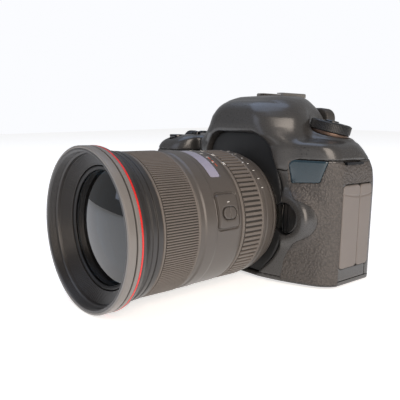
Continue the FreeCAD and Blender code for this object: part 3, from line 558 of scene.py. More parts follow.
# Painted part of the front, between the mount and the leatherette.
PAINT = outline([(-34, -4), (-34, 84), (38.6, 84), (38.6, 64), ((42.4, 55.6), (50.2, 51.3)),
                 ((57.2, 40.4), (51.2, 29)), ((42.4, 22.4), (37.6, 10)), (35.4, -4), (-34, -4)])
BADGE = outline([(43.2, 75.6), ((40.4, 74.6), (39.6, 71.5)), (40.8, 63),
                 ((41.2, 61.8), (42.4, 61.9)), (54.8, 62.8), ((56.4, 63.2), (57.0, 64.6)),
                 (60.2, 75.6), (43.2, 75.6)])
# Rectangles as low, high, low, high.
DOORS = (-13.2, 16.2, 10.6, 61.4)       # terminal covers: y and z
DOOR_SPLIT = 3.8                        # where the two covers meet
CARD = (-11.5, 13.4, 16.0, 66.0)        # card door: y and z
THUMB = (-84.0, -64.0, 50.0, 73.5)      # thumb rest: x and z
BATTERY = (-81.5, -54.0, -27.0, 13.0)   # battery door: x and y
REAR_DISPLAY = (-30, 45, 10.5, 61.5)    # x and z
TOP_DISPLAY = (-80, -46, -0.5, 17)      # x and y
EYE_WAY = (-11.2, 11.2, 84, 100)        # way through to the eyepiece: x and z


def above_seam(x, y, z):
    """Negative in the top cover's share of the skin."""
    tongue = common(TONGUE(x, z), y + 16, 1)
    return union(SEAM_Z - z, tongue, 3)


def front_leather_zone(x, y, z):
    """The front beside the mount, and the strip round the corner over the doors."""
    face = common(common(34 - x, y + 13.6, 0.6), common(z - 75, 1.3 - z, 0.6), 0.6)
    strap_side = common(common(50 - x, abs(y - 1.2) - 15.2, 0.6), abs(z - 68.5) - 6.4, 0.6)
    zone = less(union(face, strap_side, 0.5), PAINT(x, z), 0.8)
    return less(zone, common(BADGE(x, z) - 0.1, y, 0.5), 0.5)


def grip_leather_zone(x, y, z):
    """Round the grip but for the card door, and the thumb rest."""
    wrap = common(common(x + 44.6, y - 13.9, 0.6), common(z - 75, 5 - z, 0.6), 0.6)
    card = common(plate(y, z, *CARD, 1.4) - 0.25, x + 80, 0.4)
    thumb = common(plate(x, z, *THUMB, 4), 14.4 - y, 0.4)
    return union(less(wrap, card, 0.4), thumb, 0.1)


def badge_zone(x, y, z):
    return common(BADGE(x, z), y, 0.5)


def pocketed(skin, zone, form, depth, gap=-0.3):
    """Take a pocket out of the skin where a zone is."""
    return less(skin, common(zone - gap, -(form + depth + 0.1), 0.3), 0.25)


print("seams and pockets ready")

# %% [markdown]
# Controls sit in round or slotted holes. The list of holes is shared by all four covers,
# because a hole that misses a cover leaves it alone.

# %% Holes for the controls
# Each control is a radius and a centre.
TOP_KEYS = [(2.8, (-71.5, -5.0, DECK_Z)), (2.8, (-62.5, -5.0, DECK_Z)),
            (2.8, (-53.5, -5.0, DECK_Z)), (2.6, (-60.0, -20.5, DECK_Z))]
SHUTTER_BUTTON = (5.5, (-70.0, -31.6, 87.4))
MAIN_DIAL = (8.5, (-69.5, -16.7, 82.6))
REAR_KEYS = {"af_start_button": (3.3, (-48.5, 81.0)), "ae_lock_button": (2.7, (-60.5, 81.0)),
             "af_point_button": (2.7, (-71.5, 81.0)), "live_view_button": (3.6, (-37.0, 69.0))}
MENU_KEYS = [(3.0, (57.0, 69.5)), (3.0, (46.5, 69.5))]
LEFT_KEYS = [(3.1, (56.0, 57.5 - 10 * row)) for row in range(5)]
QUICK_DIAL = (16.8, (-59.5, 31.0))
JOYSTICK = (-51.5, 60.5)
RELEASE = (9.6, (38.8, AXIS_Z))
SOCKET_R = 8.1           # tripod socket in the base
FIT = 0.3                # gap round a control


def round_hole(u, v, radius, u0, v0):
    return np.hypot(u - u0, v - v0) - radius - FIT


def control_holes(x, y, z):
    """Union of every hole, as one field."""
    holes = [np.maximum(round_hole(x, y, radius, cx, cy), cz - 12 - z)
             for radius, (cx, cy, cz) in TOP_KEYS + [SHUTTER_BUTTON]]
    rear = (list(REAR_KEYS.values()) + MENU_KEYS + LEFT_KEYS
            + [(4.2, JOYSTICK), (3.0, QUICK_DIAL[1])])
    holes += [np.maximum(round_hole(x, z, radius, *spot), 10 - y) for radius, spot in rear]
    radius, spot = QUICK_DIAL
    holes.append(np.maximum(round_hole(x, z, radius, *spot), 20.1 - y))
    radius, (cx, cy, cz) = MAIN_DIAL
    holes.append(np.maximum(np.hypot(y - cy, z - cz) - radius - 0.6, abs(x - cx) - 3.4 - FIT))
    radius, spot = RELEASE
    holes.append(np.maximum(np.maximum(round_hole(x, z, radius, *spot), y + 23.6), 36.6 - x))
    holes.append(np.maximum(plate(x, z, *REAR_DISPLAY, 2) - 0.1, 21.1 - y))
    holes.append(np.maximum(plate(x, y, *TOP_DISPLAY, 2.5) - 0.1, 87.7 - z))
    holes.append(np.maximum(plate(x, z, *EYE_WAY, 3), 8 - y))
    holes.append(np.maximum(np.hypot(x, y) - SOCKET_R, z - 6))
    holes.append(np.maximum(plate(x, y, *BATTERY, 2) - FIT, z - 3.4))
    for wall, side_y in ((SIDE_X, -4.5), (GRIP_X, -4.0)):      # slots for the strap lugs
        holes.append(block(x, y, z, (wall - 1.6, side_y - 8.7, 73.4),
                           (wall + 1.6, side_y + 8.7, 75.4), 0.3))
    field = np.full(np.shape(x), 50.0)
    for hole in holes:
        field = np.minimum(field, hole)
    return field


def cover_form(x, y, z):
    """Skin with its pockets and holes, before it is parted along the seams."""
    form = body_form(x, y, z)
    skin = common(form, -(form + WALL), 0.6)
    skin = pocketed(skin, front_leather_zone(x, y, z), form, POCKET)
    skin = pocketed(skin, grip_leather_zone(x, y, z), form, POCKET)
    skin = pocketed(skin, badge_zone(x, y, z), form, POCKET - 0.3)
    doors = common(plate(y, z, *DOORS, 3.0), 50 - x, 0.4)
    skin = pocketed(skin, doors, form, POCKET + 0.4, 0.25)
    card = common(plate(y, z, *CARD, 1.4), x + 80, 0.4)
    skin = pocketed(skin, card, form, POCKET + 0.2, 0.25)
    mount = np.maximum(np.hypot(x, z - AXIS_Z) - MOUNT_R - 0.4, y)
    skin = less(skin, mount, 0.5)
    height, across = dial_place(x, y, z)
    dial_room = np.maximum(across - 13.4, -height - 2.5)
    skin = less(skin, dial_room, 0.5)
    return less(skin, control_holes(x, y, z), 0.5)


print("cover form ready")


# %% The four covers
def top_cover(x, y, z):
    return common(cover_form(x, y, z), above_seam(x, y, z) + SEAM, 0.5)


def front_cover(x, y, z):
    share = common(SEAM - above_seam(x, y, z), y - REAR_SEAM_Y + SEAM, 0.4)
    return common(common(cover_form(x, y, z), share, 0.5), BASE_TOP + 0.04 - z, 0.1)


def rear_cover(x, y, z):
    share = common(z - SEAM_Z + SEAM, REAR_SEAM_Y + SEAM - y, 0.4)
    return common(common(cover_form(x, y, z), share, 0.5), BASE_TOP + 0.04 - z, 0.1)


def bottom_cover(x, y, z):
    return common(cover_form(x, y, z), z - BASE_TOP + 0.04, 0.1)


for name, field, low, high in (
        ("top_cover", top_cover, (-87, -43, 68), (66, 25, 115)),
        ("front_cover", front_cover, (-87, -43, 2), (67, 15, 77)),
        ("rear_cover", rear_cover, (-87, 13, 2), (66, 23, 77)),
        ("bottom_cover", bottom_cover, (-87, -42, -1), (66, 23, 4))):
    formed(name + "_shell", field, low, high, "camera_body", body_paint, name)

# %% [markdown]
# The leatherette lies in its pockets and stands a little proud of the paint, with a soft
# edge. The same band makes the badge plate and the rubber doors, each with its own zone.


# %% Leatherette, badge and rubber doors
def band(zone, proud, depth=POCKET, edge=0.5):
    """Field of a sheet that follows the body inside a zone."""
    def field(x, y, z):
        form = body_form(x, y, z)
        sheet = common(form - proud, -(form + depth), 0.4)
        return common(sheet, zone(x, y, z), edge)
    return field


def door_zone(low, high):
    def zone(x, y, z):
        return common(plate(y, z, low, high, *DOORS[2:], 2.6), 50 - x, 0.4)
    return zone


def door_field(low, high):
    """Rubber door with the fine groove of its thumb piece across it."""
    plain = band(door_zone(low, high), 0.55, POCKET + 0.3, 0.9)

    def field(x, y, z):
        groove = np.hypot(z - 54.2 - 0.008 * (y - 5) ** 2, x - 66.1) - 0.6
        return less(plain(x, y, z), groove, 0.3)
    return field


def card_zone(x, y, z):
    """Inside the card door's outline on the grip's wall."""
    return common(plate(y, z, *CARD, 1.2), x + 80, 0.4)


formed("front_leather_skin", band(front_leather_zone, 0.25), (33, -37, 0), (67, 15, 77),
       "camera_body", leatherette, "front_leather", cell=EDGED)
formed("grip_leather_skin", band(grip_leather_zone, 0.25), (-88, -43, 4), (-43, 23, 77),
       "camera_body", leatherette, "grip_leather")
formed("badge_tile", band(badge_zone, 0.5, POCKET - 0.4, 0.6), (38, -34, 60), (62, -14, 77),
       "camera_body", badge_gloss, "badge_plate", cell=EDGED)
formed("terminal_door_front", door_field(DOORS[0], DOOR_SPLIT - 0.15), (62, -15, 9), (68, 5, 66),
       "terminal_cover_front", door_rubber, "terminal_cover_front", cell=EDGED)
formed("terminal_door_rear", door_field(DOOR_SPLIT + 0.15, DOORS[1]), (62, 3, 9), (68, 17, 66),
       "terminal_cover_rear", door_rubber, "terminal_cover_rear", cell=EDGED)
formed("card_door_panel", band(card_zone, 0.3, POCKET + 0.1, 0.6), (-89, -13, 15),
       (-83, 15, 67), "card_door", leatherette, "card_door")

# %% [markdown]
# The wall round the lens mount is a dull black moulding that fills the recess and shows
# only its flat face and the round opening of the mount.


# %% Mount surround and eyecup
def mount_surround(x, y, z):
    """Plug that fills the recess, open for the mount and the release button."""
    plug = common(RECESS(x, z) + 0.2, abs(y + 31.2) - 2.5, 0.6)
    plug = less(plug, np.hypot(x, z - AXIS_Z) - MOUNT_R - 0.3, 0.5)
    radius, (cx, cz) = RELEASE
    plug = less(plug, np.hypot(x - cx, z - cz) - radius - FIT, 0.4)
    return common(plug, BASE_TOP + 0.2 - z, 0.4)


def eyecup(x, y, z):
    """Rubber frame that leans back and flares round the eyepiece."""
    rim = plate(x, z, -23.8, 23.8, 79.3, 107.4, 7)
    lean = common(rim + 0.06 * np.maximum(y - 26, 0), abs(y - 29.4) - 5.0, 1.6)
    way = plate(x, z, -11.6, 11.6, 83.6, 100.4, 4) - 0.25 * np.maximum(y - 27, 0)
    return less(lean, way, 1.4)


formed("mount_surround_wall", mount_surround, (-38, -35, 2), (38, -28, 94), "camera_body",
       dull_abs, "mount_surround")
formed("eyecup_frame", eyecup, (-24, 24, 78), (24, 35, 108), "camera_body", cup_rubber,
       "eyecup", cell=0.6)

# %% [markdown]
# Turned pieces are drawn as half sections, like a lathe drawing: pairs of a height along
# the axis and a radius. Every corner gets a small round, because an edge that catches light
# is what tells the eye that a ring is metal. A place matrix sets the axis in the camera.


# %% Lathe
def eased(profile, radius, steps=3):
    """Round every corner of a closed profile."""
    points = np.array(profile, float)
    out = []
    for before, here, after in zip(np.roll(points, 1, 0), points, np.roll(points, -1, 0)):
        arms = [before - here, after - here]
        reach = [min(radius, 0.42 * np.linalg.norm(arm)) / max(np.linalg.norm(arm), 1e-9)
                 for arm in arms]
        a, b = here + arms[0] * reach[0], here + arms[1] * reach[1]
        for t in np.linspace(0, 1, steps + 1):
            out.append((1 - t) ** 2 * a + 2 * t * (1 - t) * here + t * t * b)
    return out


def turned_mesh(name, profile, ease=0.15, sides=None):
    """Closed mesh of revolution about +Z at the origin, from (height, radius) pairs."""
    sides = sides or ROUND
    ring = np.array(eased(profile, ease) if ease else profile, float)
    ring[:, 1] = np.maximum(ring[:, 1], 0.0)
    turns = 2 * math.pi * np.arange(sides) / sides
    points = np.stack([np.outer(np.cos(turns), ring[:, 1]), np.outer(np.sin(turns), ring[:, 1]),
                       np.tile(ring[:, 0], (sides, 1))], 2).reshape(-1, 3)
    count = len(ring)
    faces = [(i * count + j, i * count + (j + 1) % count,
              (i + 1) % sides * count + (j + 1) % count, (i + 1) % sides * count + j)
             for i in range(sides) for j in range(count)]
    mesh = bpy.data.meshes.new(name)
    mesh.from_pydata(points.tolist(), [], faces)
    work = bmesh.new()
    work.from_mesh(mesh)
    bmesh.ops.remove_doubles(work, verts=work.verts, dist=1e-4)
    bmesh.ops.dissolve_degenerate(work, edges=work.edges, dist=1e-5)
    bmesh.ops.recalc_face_normals(work, faces=work.faces)
    bmesh.ops.scale(work, vec=(MM, MM, MM), verts=work.verts)
    work.to_mesh(mesh)
    work.free()
    return mesh


def axis_place(origin, direction):
    """Matrix that sets +Z on a direction at an origin."""
    turn = Vector(direction).to_track_quat("Z", "Y").to_matrix().to_4x4()
    return Matrix.Translation(Vector(origin)) @ turn


def set_down(mesh, place):
    """Move a mesh in metres by a matrix in millimetres."""
    mesh.transform(Matrix.Scale(MM, 4) @ place @ Matrix.Scale(1 / MM, 4))


LENS_PLACE = Matrix.Translation((0, FLANGE_Y, AXIS_Z)) @ Matrix.Rotation(math.radians(90), 4, "X")
DIAL_PLACE = axis_place(DIAL_BASE, DIAL_AXIS)
print("lathe ready")

# %% [markdown]
# Ribs, knurls, ticks and screws repeat, so Geometry Nodes make them. This tree puts bars
# round an axis: a trapezoid section with rounded corners is made solid along a short line
# and set at equal turns. Ticks are the same bars, nearly flat.


# %% Geometry Nodes: bars round an axis
def declare(tree, **inputs):
    """Give a tree its named inputs beside the geometry, and return their sockets."""
    for name, kind in {"Geometry": "Geometry", **inputs}.items():
        tree.interface.new_socket(name, in_out="INPUT", socket_type=f"NodeSocket{kind}")
    tree.interface.new_socket("Geometry", in_out="OUTPUT", socket_type="NodeSocketGeometry")
    return add(tree, "NodeGroupInput").outputs


def bars_tree():
    tree = bpy.data.node_groups.new("bars_round_an_axis", "GeometryNodeTree")
    given = declare(tree, Count="Int", Radius="Float", Start="Float", Length="Float", Foot="Float",
                    Crest="Float", Rise="Float", Ease="Float", Turn="Float", Sweep="Float",
                    Finish="Material")
    section = add(tree, "GeometryNodeCurvePrimitiveQuadrilateral",
                  [(given["Foot"], "Bottom Width"), (given["Crest"], "Top Width"),
                   (given["Rise"], "Height")], {"Offset": 0.0}, mode="TRAPEZOID")
    soft = add(tree, "GeometryNodeFilletCurve",
               [(section.outputs[0], "Curve"), (given["Ease"], "Radius")],
               {"Count": 2, "Limit Radius": True}, mode="POLY")
    filled = add(tree, "GeometryNodeFillCurve", [(soft.outputs[0], "Curve")], mode="NGONS")
    reach = add(tree, "ShaderNodeCombineXYZ", [(given["Length"], "Z")])
    solid = add(tree, "GeometryNodeExtrudeMesh",
                [(filled.outputs[0], "Mesh"), (reach.outputs[0], "Offset")],
                {"Offset Scale": 1.0, "Individual": False}, mode="FACES")
    foot = add(tree, "GeometryNodeFlipFaces", [(filled.outputs[0], "Mesh")])
    bar = add(tree, "GeometryNodeJoinGeometry")
    tree.links.new(foot.outputs[0], bar.inputs[0])
    tree.links.new(solid.outputs[0], bar.inputs[0])
    welded = add(tree, "GeometryNodeMergeByDistance", [(bar.outputs[0], "Geometry")],
                 {"Distance": 1e-6})
    upright = add(tree, "GeometryNodeTransform", [(welded.outputs[0], "Geometry")],
                  {"Rotation": (0, 0, -math.pi / 2)})
    spots = add(tree, "GeometryNodePoints", [(given["Count"], "Count")])
    index = add(tree, "GeometryNodeInputIndex")
    share = add(tree, "ShaderNodeMath", [(index.outputs[0], 0), (given["Count"], 1)],
                operation="DIVIDE")
    angle = add(tree, "ShaderNodeMath",
                [(share.outputs[0], 0), (given["Sweep"], 1), (given["Turn"], 2)],
                operation="MULTIPLY_ADD")
    cosine = add(tree, "ShaderNodeMath", [(angle.outputs[0], 0)], operation="COSINE")
    sine = add(tree, "ShaderNodeMath", [(angle.outputs[0], 0)], operation="SINE")
    unit = add(tree, "ShaderNodeCombineXYZ", [(cosine.outputs[0], "X"), (sine.outputs[0], "Y")])
    out = add(tree, "ShaderNodeVectorMath", [(unit.outputs[0], 0), (given["Radius"], "Scale")],
              operation="SCALE")
    lift = add(tree, "ShaderNodeCombineXYZ", [(given["Start"], "Z")])
    spot = add(tree, "ShaderNodeVectorMath", [(out.outputs[0], 0), (lift.outputs[0], 1)],
               operation="ADD")
    moved = add(tree, "GeometryNodeSetPosition",
                [(spots.outputs[0], "Geometry"), (spot.outputs[0], "Position")])
    twist = add(tree, "ShaderNodeCombineXYZ", [(angle.outputs[0], "Z")])
    laid = add(tree, "GeometryNodeInstanceOnPoints",
               [(moved.outputs[0], "Points"), (upright.outputs[0], "Instance"),
                (twist.outputs[0], "Rotation")])
    real = add(tree, "GeometryNodeRealizeInstances", [(laid.outputs[0], "Geometry")])
    painted = add(tree, "GeometryNodeSetMaterial",
                  [(real.outputs[0], "Geometry"), (given["Finish"], "Material")])
    both = add(tree, "GeometryNodeJoinGeometry")
    tree.links.new(painted.outputs[0], both.inputs[0])
    tree.links.new(given["Geometry"], both.inputs[0])
    add(tree, "NodeGroupOutput", [(both.outputs[0], "Geometry")])
    return tree


BARS = bars_tree()
print("bars tree with", len(BARS.nodes), "nodes")

# %% Run a tree and place the result
def run_tree(mesh, tree, **inputs):
    """Plain mesh from a mesh and a node tree; sizes are in millimetres, angles in radians."""
    holder = bpy.data.objects.new("holder", mesh)
    bpy.context.scene.collection.objects.link(holder)
    modifier = holder.modifiers.new(tree.name, "NODES")
    modifier.node_group = tree
    for item in tree.interface.items_tree:
        if item.in_out == "INPUT" and item.name in inputs:
            value = inputs[item.name]
            if isinstance(value, float) and item.name not in ("Turn", "Sweep"):
                value *= MM
            modifier[item.identifier] = value
    bpy.context.view_layer.update()
    graph = bpy.context.evaluated_depsgraph_get()
    result = bpy.data.meshes.new_from_object(holder.evaluated_get(graph), depsgraph=graph)
    holder.modifiers.clear()
    bpy.data.objects.remove(holder)
    return result


def row(count, radius, start, length, foot, crest, rise, ease, material, turn=0.0):
    """Inputs for one row of bars round a full turn."""
    return dict(Count=count, Radius=radius, Start=start, Length=length, Foot=foot, Crest=crest,
                Rise=rise, Ease=ease, Turn=turn, Sweep=FULL, Finish=material)


def turned(name, profile, place, body, material, nodes=(), ease=0.15, bars=(),
           sides=None, sharp=38):
    """Turned piece, with rows of bars round it."""
    mesh = turned_mesh(name, profile, ease, sides)
    mesh.materials.append(material)
    for sizes in bars:
        mesh = run_tree(mesh, BARS, **sizes)
    set_down(mesh, place)
    mesh.name = name
    return piece(name, mesh, body, None, nodes, sharp)


def join_meshes(name, meshes):
    """One mesh from several."""
    work = bmesh.new()
    for mesh in meshes:
        work.from_mesh(mesh)
    joined = bpy.data.meshes.new(name)
    work.to_mesh(joined)
    work.free()
    return joined


print("tree runner ready")

# %% [markdown]
# The lens from the mount forwards. The focus ring has about 180 fine ribs and the zoom ring
# 84 bold ones, counted from their pitch on rings this size.

# %% Rear barrel and zoom ring
turned("rear_barrel_sleeve",
       [(1.52, 31.5), (1.52, 35.9), (4.0, 36.9), (4.3, 36.4), (4.9, 36.5), (5.1, 37.3),
        (7.0, 37.9), (7.4, 38.3), (12.0, 38.8), (13.0, 38.6), (13.4, 38.9), (15.4, 39.1),
        (15.4, TUBE_R), (96.0, TUBE_R), (96.0, TUBE_BORE), (4.5, TUBE_BORE), (4.5, 31.5)],
       LENS_PLACE, "lens", barrel_paint, "rear_barrel")
# The grooves take the darker rubber as painted shade, the ribs the lighter one as painted light.
turned("zoom_ring_sleeve",
       [(15.6, TUBE_R + 0.2), (15.6, 38.7), (33.2, 38.7), (33.2, TUBE_R + 0.2)],
       LENS_PLACE, "zoom_ring", groove_shade_rubber, "zoom_ring", bars=[
           row(84, 38.95, 17.6, 13.3, 2.05, 1.65, 1.1, 0.22, rib_lit_rubber)])


def ring_lip(name, body, low, high, foot, side, crest):
    """Plain rubber band at the end of a ribbed sleeve."""
    turned(name, [(low, foot), (low, side), (low + 0.4, crest), (high - 0.4, crest), (high, side),
                  (high, foot)], LENS_PLACE, body, rib_lit_rubber, ())


ring_lip("zoom_ring_rear_lip", "zoom_ring", 15.62, 17.3, 38.0, 38.9, 39.4)
ring_lip("zoom_ring_front_lip", "zoom_ring", 31.2, 33.18, 38.0, 38.9, 39.4)

# %% [markdown]
# The sleeve between the rings is not round everywhere: it carries a raised switch panel
# with a moat, the slot of the switch, and the long window over the distance scale. It is a
# field again, but drawn on the unrolled barrel, in arc length, distance and radius.

# %% Unrolled barrel
UNROLL_R = 40.0


def rolled(points):
    """Unrolled (arc, distance, radius) back to the camera's axes."""
    turn = points[:, 0] / UNROLL_R
    return np.stack([points[:, 2] * np.cos(turn), FLANGE_Y - points[:, 1],
                     AXIS_Z + points[:, 2] * np.sin(turn)], 1)


def arc(degrees):
    """Arc length on the unrolled barrel, from +X over the top."""
    return math.radians(degrees) * UNROLL_R


def barrel_piece(name, field, low, high, body, material, nodes=(), cell=0.5):
    """Piece whose surface is a field's on the unrolled barrel."""
    cell = cell * 1
    points, faces = net(field, low, high, cell)
    points = rolled(settle(field, points, cell))
    print(name, len(faces) * 2, "triangles")
    return piece(name, mesh_of(name, points, faces), body, material, nodes, 45)


SLEEVE = outline([(33.5, TUBE_R), (33.5, 39.1), (34.8, 39.5), (36.4, 39.75), (52.8, 40.0),
                  (53.6, 40.3), (60.4, 40.3), (61.4, 39.7), (64.3, 39.7), (64.3, TUBE_R),
                  (33.5, TUBE_R)], cell=0.1, margin=6)
PANEL = (arc(1.0), arc(27.0), 37.4, 51.6)        # arc and distance of the switch panel
SWITCH = (arc(12.0), 44.0)                       # middle of the switch
WINDOW = (arc(43.0), arc(137.0), 41.6, 49.2)     # arc and distance of the window


def window_sleeve(s, d, r):
    """Sleeve with the moat and face of the switch panel, the switch's well and the window."""
    ring = SLEEVE(d, r)
    panel = plate(s, d, *PANEL, 1.6)
    ring = less(ring, common(abs(panel - 1.0) - 0.6, 38.9 - r, 0.3), 0.3)
    ring = union(ring, common(panel, abs(r - 38.6) - 2.25, 0.5), 0.3)
    s0, d0 = SWITCH
    well = common(plate(s, d, s0 - 3.7, s0 + 3.7, d0 - 5.4, d0 + 5.4, 3.6), 39.5 - r, 0.3)
    ring = less(ring, well, 0.3)
    ring = less(ring, plate(s, d, *WINDOW, 1.6), 0.4)
    room = np.maximum(abs(d - 45.5) - 6.0, r - 38.4)
    ring = less(ring, room, 0.3)
    return common(ring, abs(s - arc(90)) - math.pi * UNROLL_R - 0.02, 0.05)


def window_pane(s, d, r):
    """Clear pane a little smaller than its window."""
    return common(plate(s, d, WINDOW[0] + 0.15, WINDOW[1] - 0.15, 41.75, 49.05, 1.5),
                  abs(r - 39.1) - 0.65, 0.3)


def switch_slider(s, d, r):
    """Pill with a groove across it for the nail."""
    s0, d0 = SWITCH
    pill = common(plate(s, d, s0 - 3.2, s0 + 3.2, d0 - 4.5, d0 + 4.5, 3.1),
                  abs(r - 40.1) - 1.25, 0.6)
    return less(pill, common(abs(d - d0) - 0.35, 40.7 - r, 0.2), 0.2)


half_round = math.pi * UNROLL_R + 0.1
barrel_piece("window_barrel_sleeve", window_sleeve, (arc(90) - half_round, 33.4, 35.1),
             (arc(90) + half_round, 64.4, 41.3), "lens", barrel_paint, "window_barrel")
barrel_piece("distance_window_pane", window_pane, (WINDOW[0], 41.6, 38.3),
             (WINDOW[1], 49.2, 39.9), "lens", clear_acrylic, "distance_window",
             cell=0.4)
barrel_piece("focus_switch_slider", switch_slider, (SWITCH[0] - 4, 39.5, 38.6),
             (SWITCH[0] + 4, 48.5, 41.4), "focus_switch", barrel_paint, "focus_switch",
             cell=0.25)

# %% Focus ring and front barrel
# The grooves take the darker rubber as painted shade, the ribs the lighter one as painted light.
turned("focus_ring_sleeve",
       [(64.6, TUBE_R + 0.2), (64.6, 39.9), (88.7, 39.9), (88.7, TUBE_R + 0.2)],
       LENS_PLACE, "focus_ring", groove_shade_rubber, "focus_ring", ease=0.12, bars=[
           row(180, 40.15, 66.3, 20.7, 0.98, 0.74, 0.8, 0.12, rib_lit_rubber)])
ring_lip("focus_ring_rear_lip", "focus_ring", 64.62, 66.2, 39.2, 40.1, 40.5)
ring_lip("focus_ring_front_lip", "focus_ring", 87.1, 88.68, 39.2, 40.1, 40.5)

RIM = LENS_LENGTH
THREAD_END = RIM - 5.1
thread = []
for turn in range(5):
    start = RIM - 0.8 - 0.8 * turn
    thread += [(start, 41.0), (start - 0.4, 41.4)]
ridges = []
for step in range(12):
    distance, radius = 104.9 - 0.38 * step, 40.0 - 0.5 * step
    ridges += [(distance, radius - 0.1), (distance - 0.24, radius - 0.12),
               (distance - 0.26, radius - 0.6)]
ridges += [(100.2, TUBE_BORE), (94.4, TUBE_BORE)]
turned("front_barrel_ring",
       [(89.0, TUBE_R), (89.0, 40.5), (89.4, 40.9), (92.2, 41.0), (92.5, 40.4), (93.4, 40.4),
        (93.7, 41.3), (95.7, 41.4), (96.0, 40.9), (97.2, 41.0), (98.6, 41.7), (100.4, 43.1),
        (101.4, 43.8), (102.4, 44.15), (103.1, 44.2), (103.1, 43.2), (RIM - 0.4, 43.2),
        (RIM, 42.9), (RIM, 41.9), (RIM - 0.6, 41.2)] + thread + [(THREAD_END, 40.2)] + ridges
       + [(94.4, 35.4), (96.2, 35.4), (96.2, TUBE_R)],
       LENS_PLACE, "lens", hood_paint, "front_barrel", ease=0.12)
turned("front_rim_band",
       [(107.1, 43.3), (107.1, 44.0), (107.4, 44.32), (RIM - 0.4, 44.32), (RIM + 0.02, 43.9),
        (RIM + 0.02, 43.0), (RIM - 0.3, 43.0), (RIM - 0.5, 43.3)],
       LENS_PLACE, "lens", rim_and_reflection_paint, (), ease=0.12)
# The band's light tone is a painted reflection.
turned("filter_band",
       [(104.22, 43.1), (104.22, 44.25), (106.2, 44.3), (106.38, 44.0), (106.38, 43.1)], LENS_PLACE,
       "lens", rim_and_reflection_paint, (), ease=0.15)
turned("red_ring_band", [(103.2, 43.1), (103.2, 44.3), (104.14, 44.35), (104.14, 43.1)],
       LENS_PLACE, "lens", red_enamel, "red_ring", ease=0.2)

# %% [markdown]
# The front glass is a meniscus whose dome ends the ridged cone of the barrel. It sits in an
# anodised retaining ring.

# %% Front glass
FRONT_R, DOME_R, GLASS_EDGE = 31.5, 100.0, 98.6
sag = DOME_R - math.sqrt(DOME_R ** 2 - FRONT_R ** 2)
dome = [(GLASS_EDGE + sag - DOME_R + math.sqrt(DOME_R ** 2 - r * r), r)
        for r in np.linspace(FRONT_R, 0, 24)]
hollow = [(88.0 + 5.0 * (1 - (r / 27) ** 2), r) for r in np.linspace(0, 27, 14)]
# The glass's nearly black tint is painted shade.
turned("front_glass_dome", dome + hollow + [(88.2, FRONT_R)], LENS_PLACE, "front_element",
       dark_painted_front_glass, "front_element", ease=0, sharp=30)
turned("front_glass_retainer",
       [(84.0, FRONT_R + 0.05), (84.0, 33.4), (GLASS_EDGE + 1.4, 33.4), (GLASS_EDGE + 1.4, 32.6),
        (GLASS_EDGE + 0.9, FRONT_R - 0.1), (GLASS_EDGE + 0.3, FRONT_R - 0.2),
        (GLASS_EDGE + 0.1, FRONT_R + 0.05)],
       LENS_PLACE, "front_element", anodised, ())

# %% [markdown]
# The mode dial turns on a tilted axis. Its knurl is a ring of fine ribs, and the power
# switch is a bronze-coloured collar with a lever underneath it.

# %% Mode dial and power switch
turned("mode_dial_knob",
       [(0.0, 4.7), (0.0, 12.5), (0.4, 12.6), (5.0, 12.3), (5.7, 11.7), (5.8, 10.9),
        (5.5, 10.5), (5.5, 5.2), (5.8, 4.7)],
       DIAL_PLACE, "mode_dial", black_abs, "mode_dial", ease=0.2, bars=[
           row(72, 12.5, 0.2, 5.0, 0.74, 0.42, 0.7, 0.1, black_abs),
           row(10, 8.6, 5.46, 0.1, 0.35, 0.35, 1.5, 0.05, white_ink, turn=0.2)])
turned("mode_lock_cap",
       [(3.4, 0), (3.4, 4.4), (6.3, 4.4), (6.8, 3.9), (6.65, 2.0), (6.6, 0)],
       DIAL_PLACE, "mode_lock_button", gloss_abs, "mode_lock_button")
turned("mode_dial_spindle", [(-5, 0), (-5, 4.0), (1.6, 4.0), (1.6, 0)], DIAL_PLACE,
       "camera_body", steel, ())


def lever(u, v, h):
    """Power switch in the dial's own axes: a collar with a lever at its rim."""
    across = np.hypot(u, v)
    collar = common(common(across - 12.6, 4.8 - across, 0.3), abs(h + 1.3) - 1.0, 0.4)
    turn = math.radians(70)
    along = u * math.cos(turn) + v * math.sin(turn)
    aside = v * math.cos(turn) - u * math.sin(turn)
    tab = common(common(abs(along - 13.2) - 2.0, abs(aside) - 2.2, 0.8), abs(h + 1.3) - 1.0, 0.4)
    return union(collar, tab, 1.2)


switch_points, switch_faces = net(lever, (-13.5, -13.5, -2.6), (13.5, 15.8, 0), 0.4)
switch_points = settle(lever, switch_points, 0.4)
switch_mesh = mesh_of("power_switch_collar", switch_points, switch_faces)
set_down(switch_mesh, DIAL_PLACE)
piece("power_switch_collar", switch_mesh, "power_switch", bronze_ring, "power_switch")

# %% [markdown]
# Keys are low turned caps with a shallow dish for the fingertip.


# %% Keys, buttons and dials
def key_mesh(name, radius, centre, direction, above, below, dish=0.25):
    """Round key about its centre on the cover's face."""
    profile = [(-below, 0), (-below, radius), (above - 0.35, radius), (above, radius - 0.4),
               (above - dish * 0.6, radius * 0.6), (above - dish, 0)]
    mesh = turned_mesh(name, profile, 0.2, 64)
    set_down(mesh, axis_place(centre, direction))
    return mesh


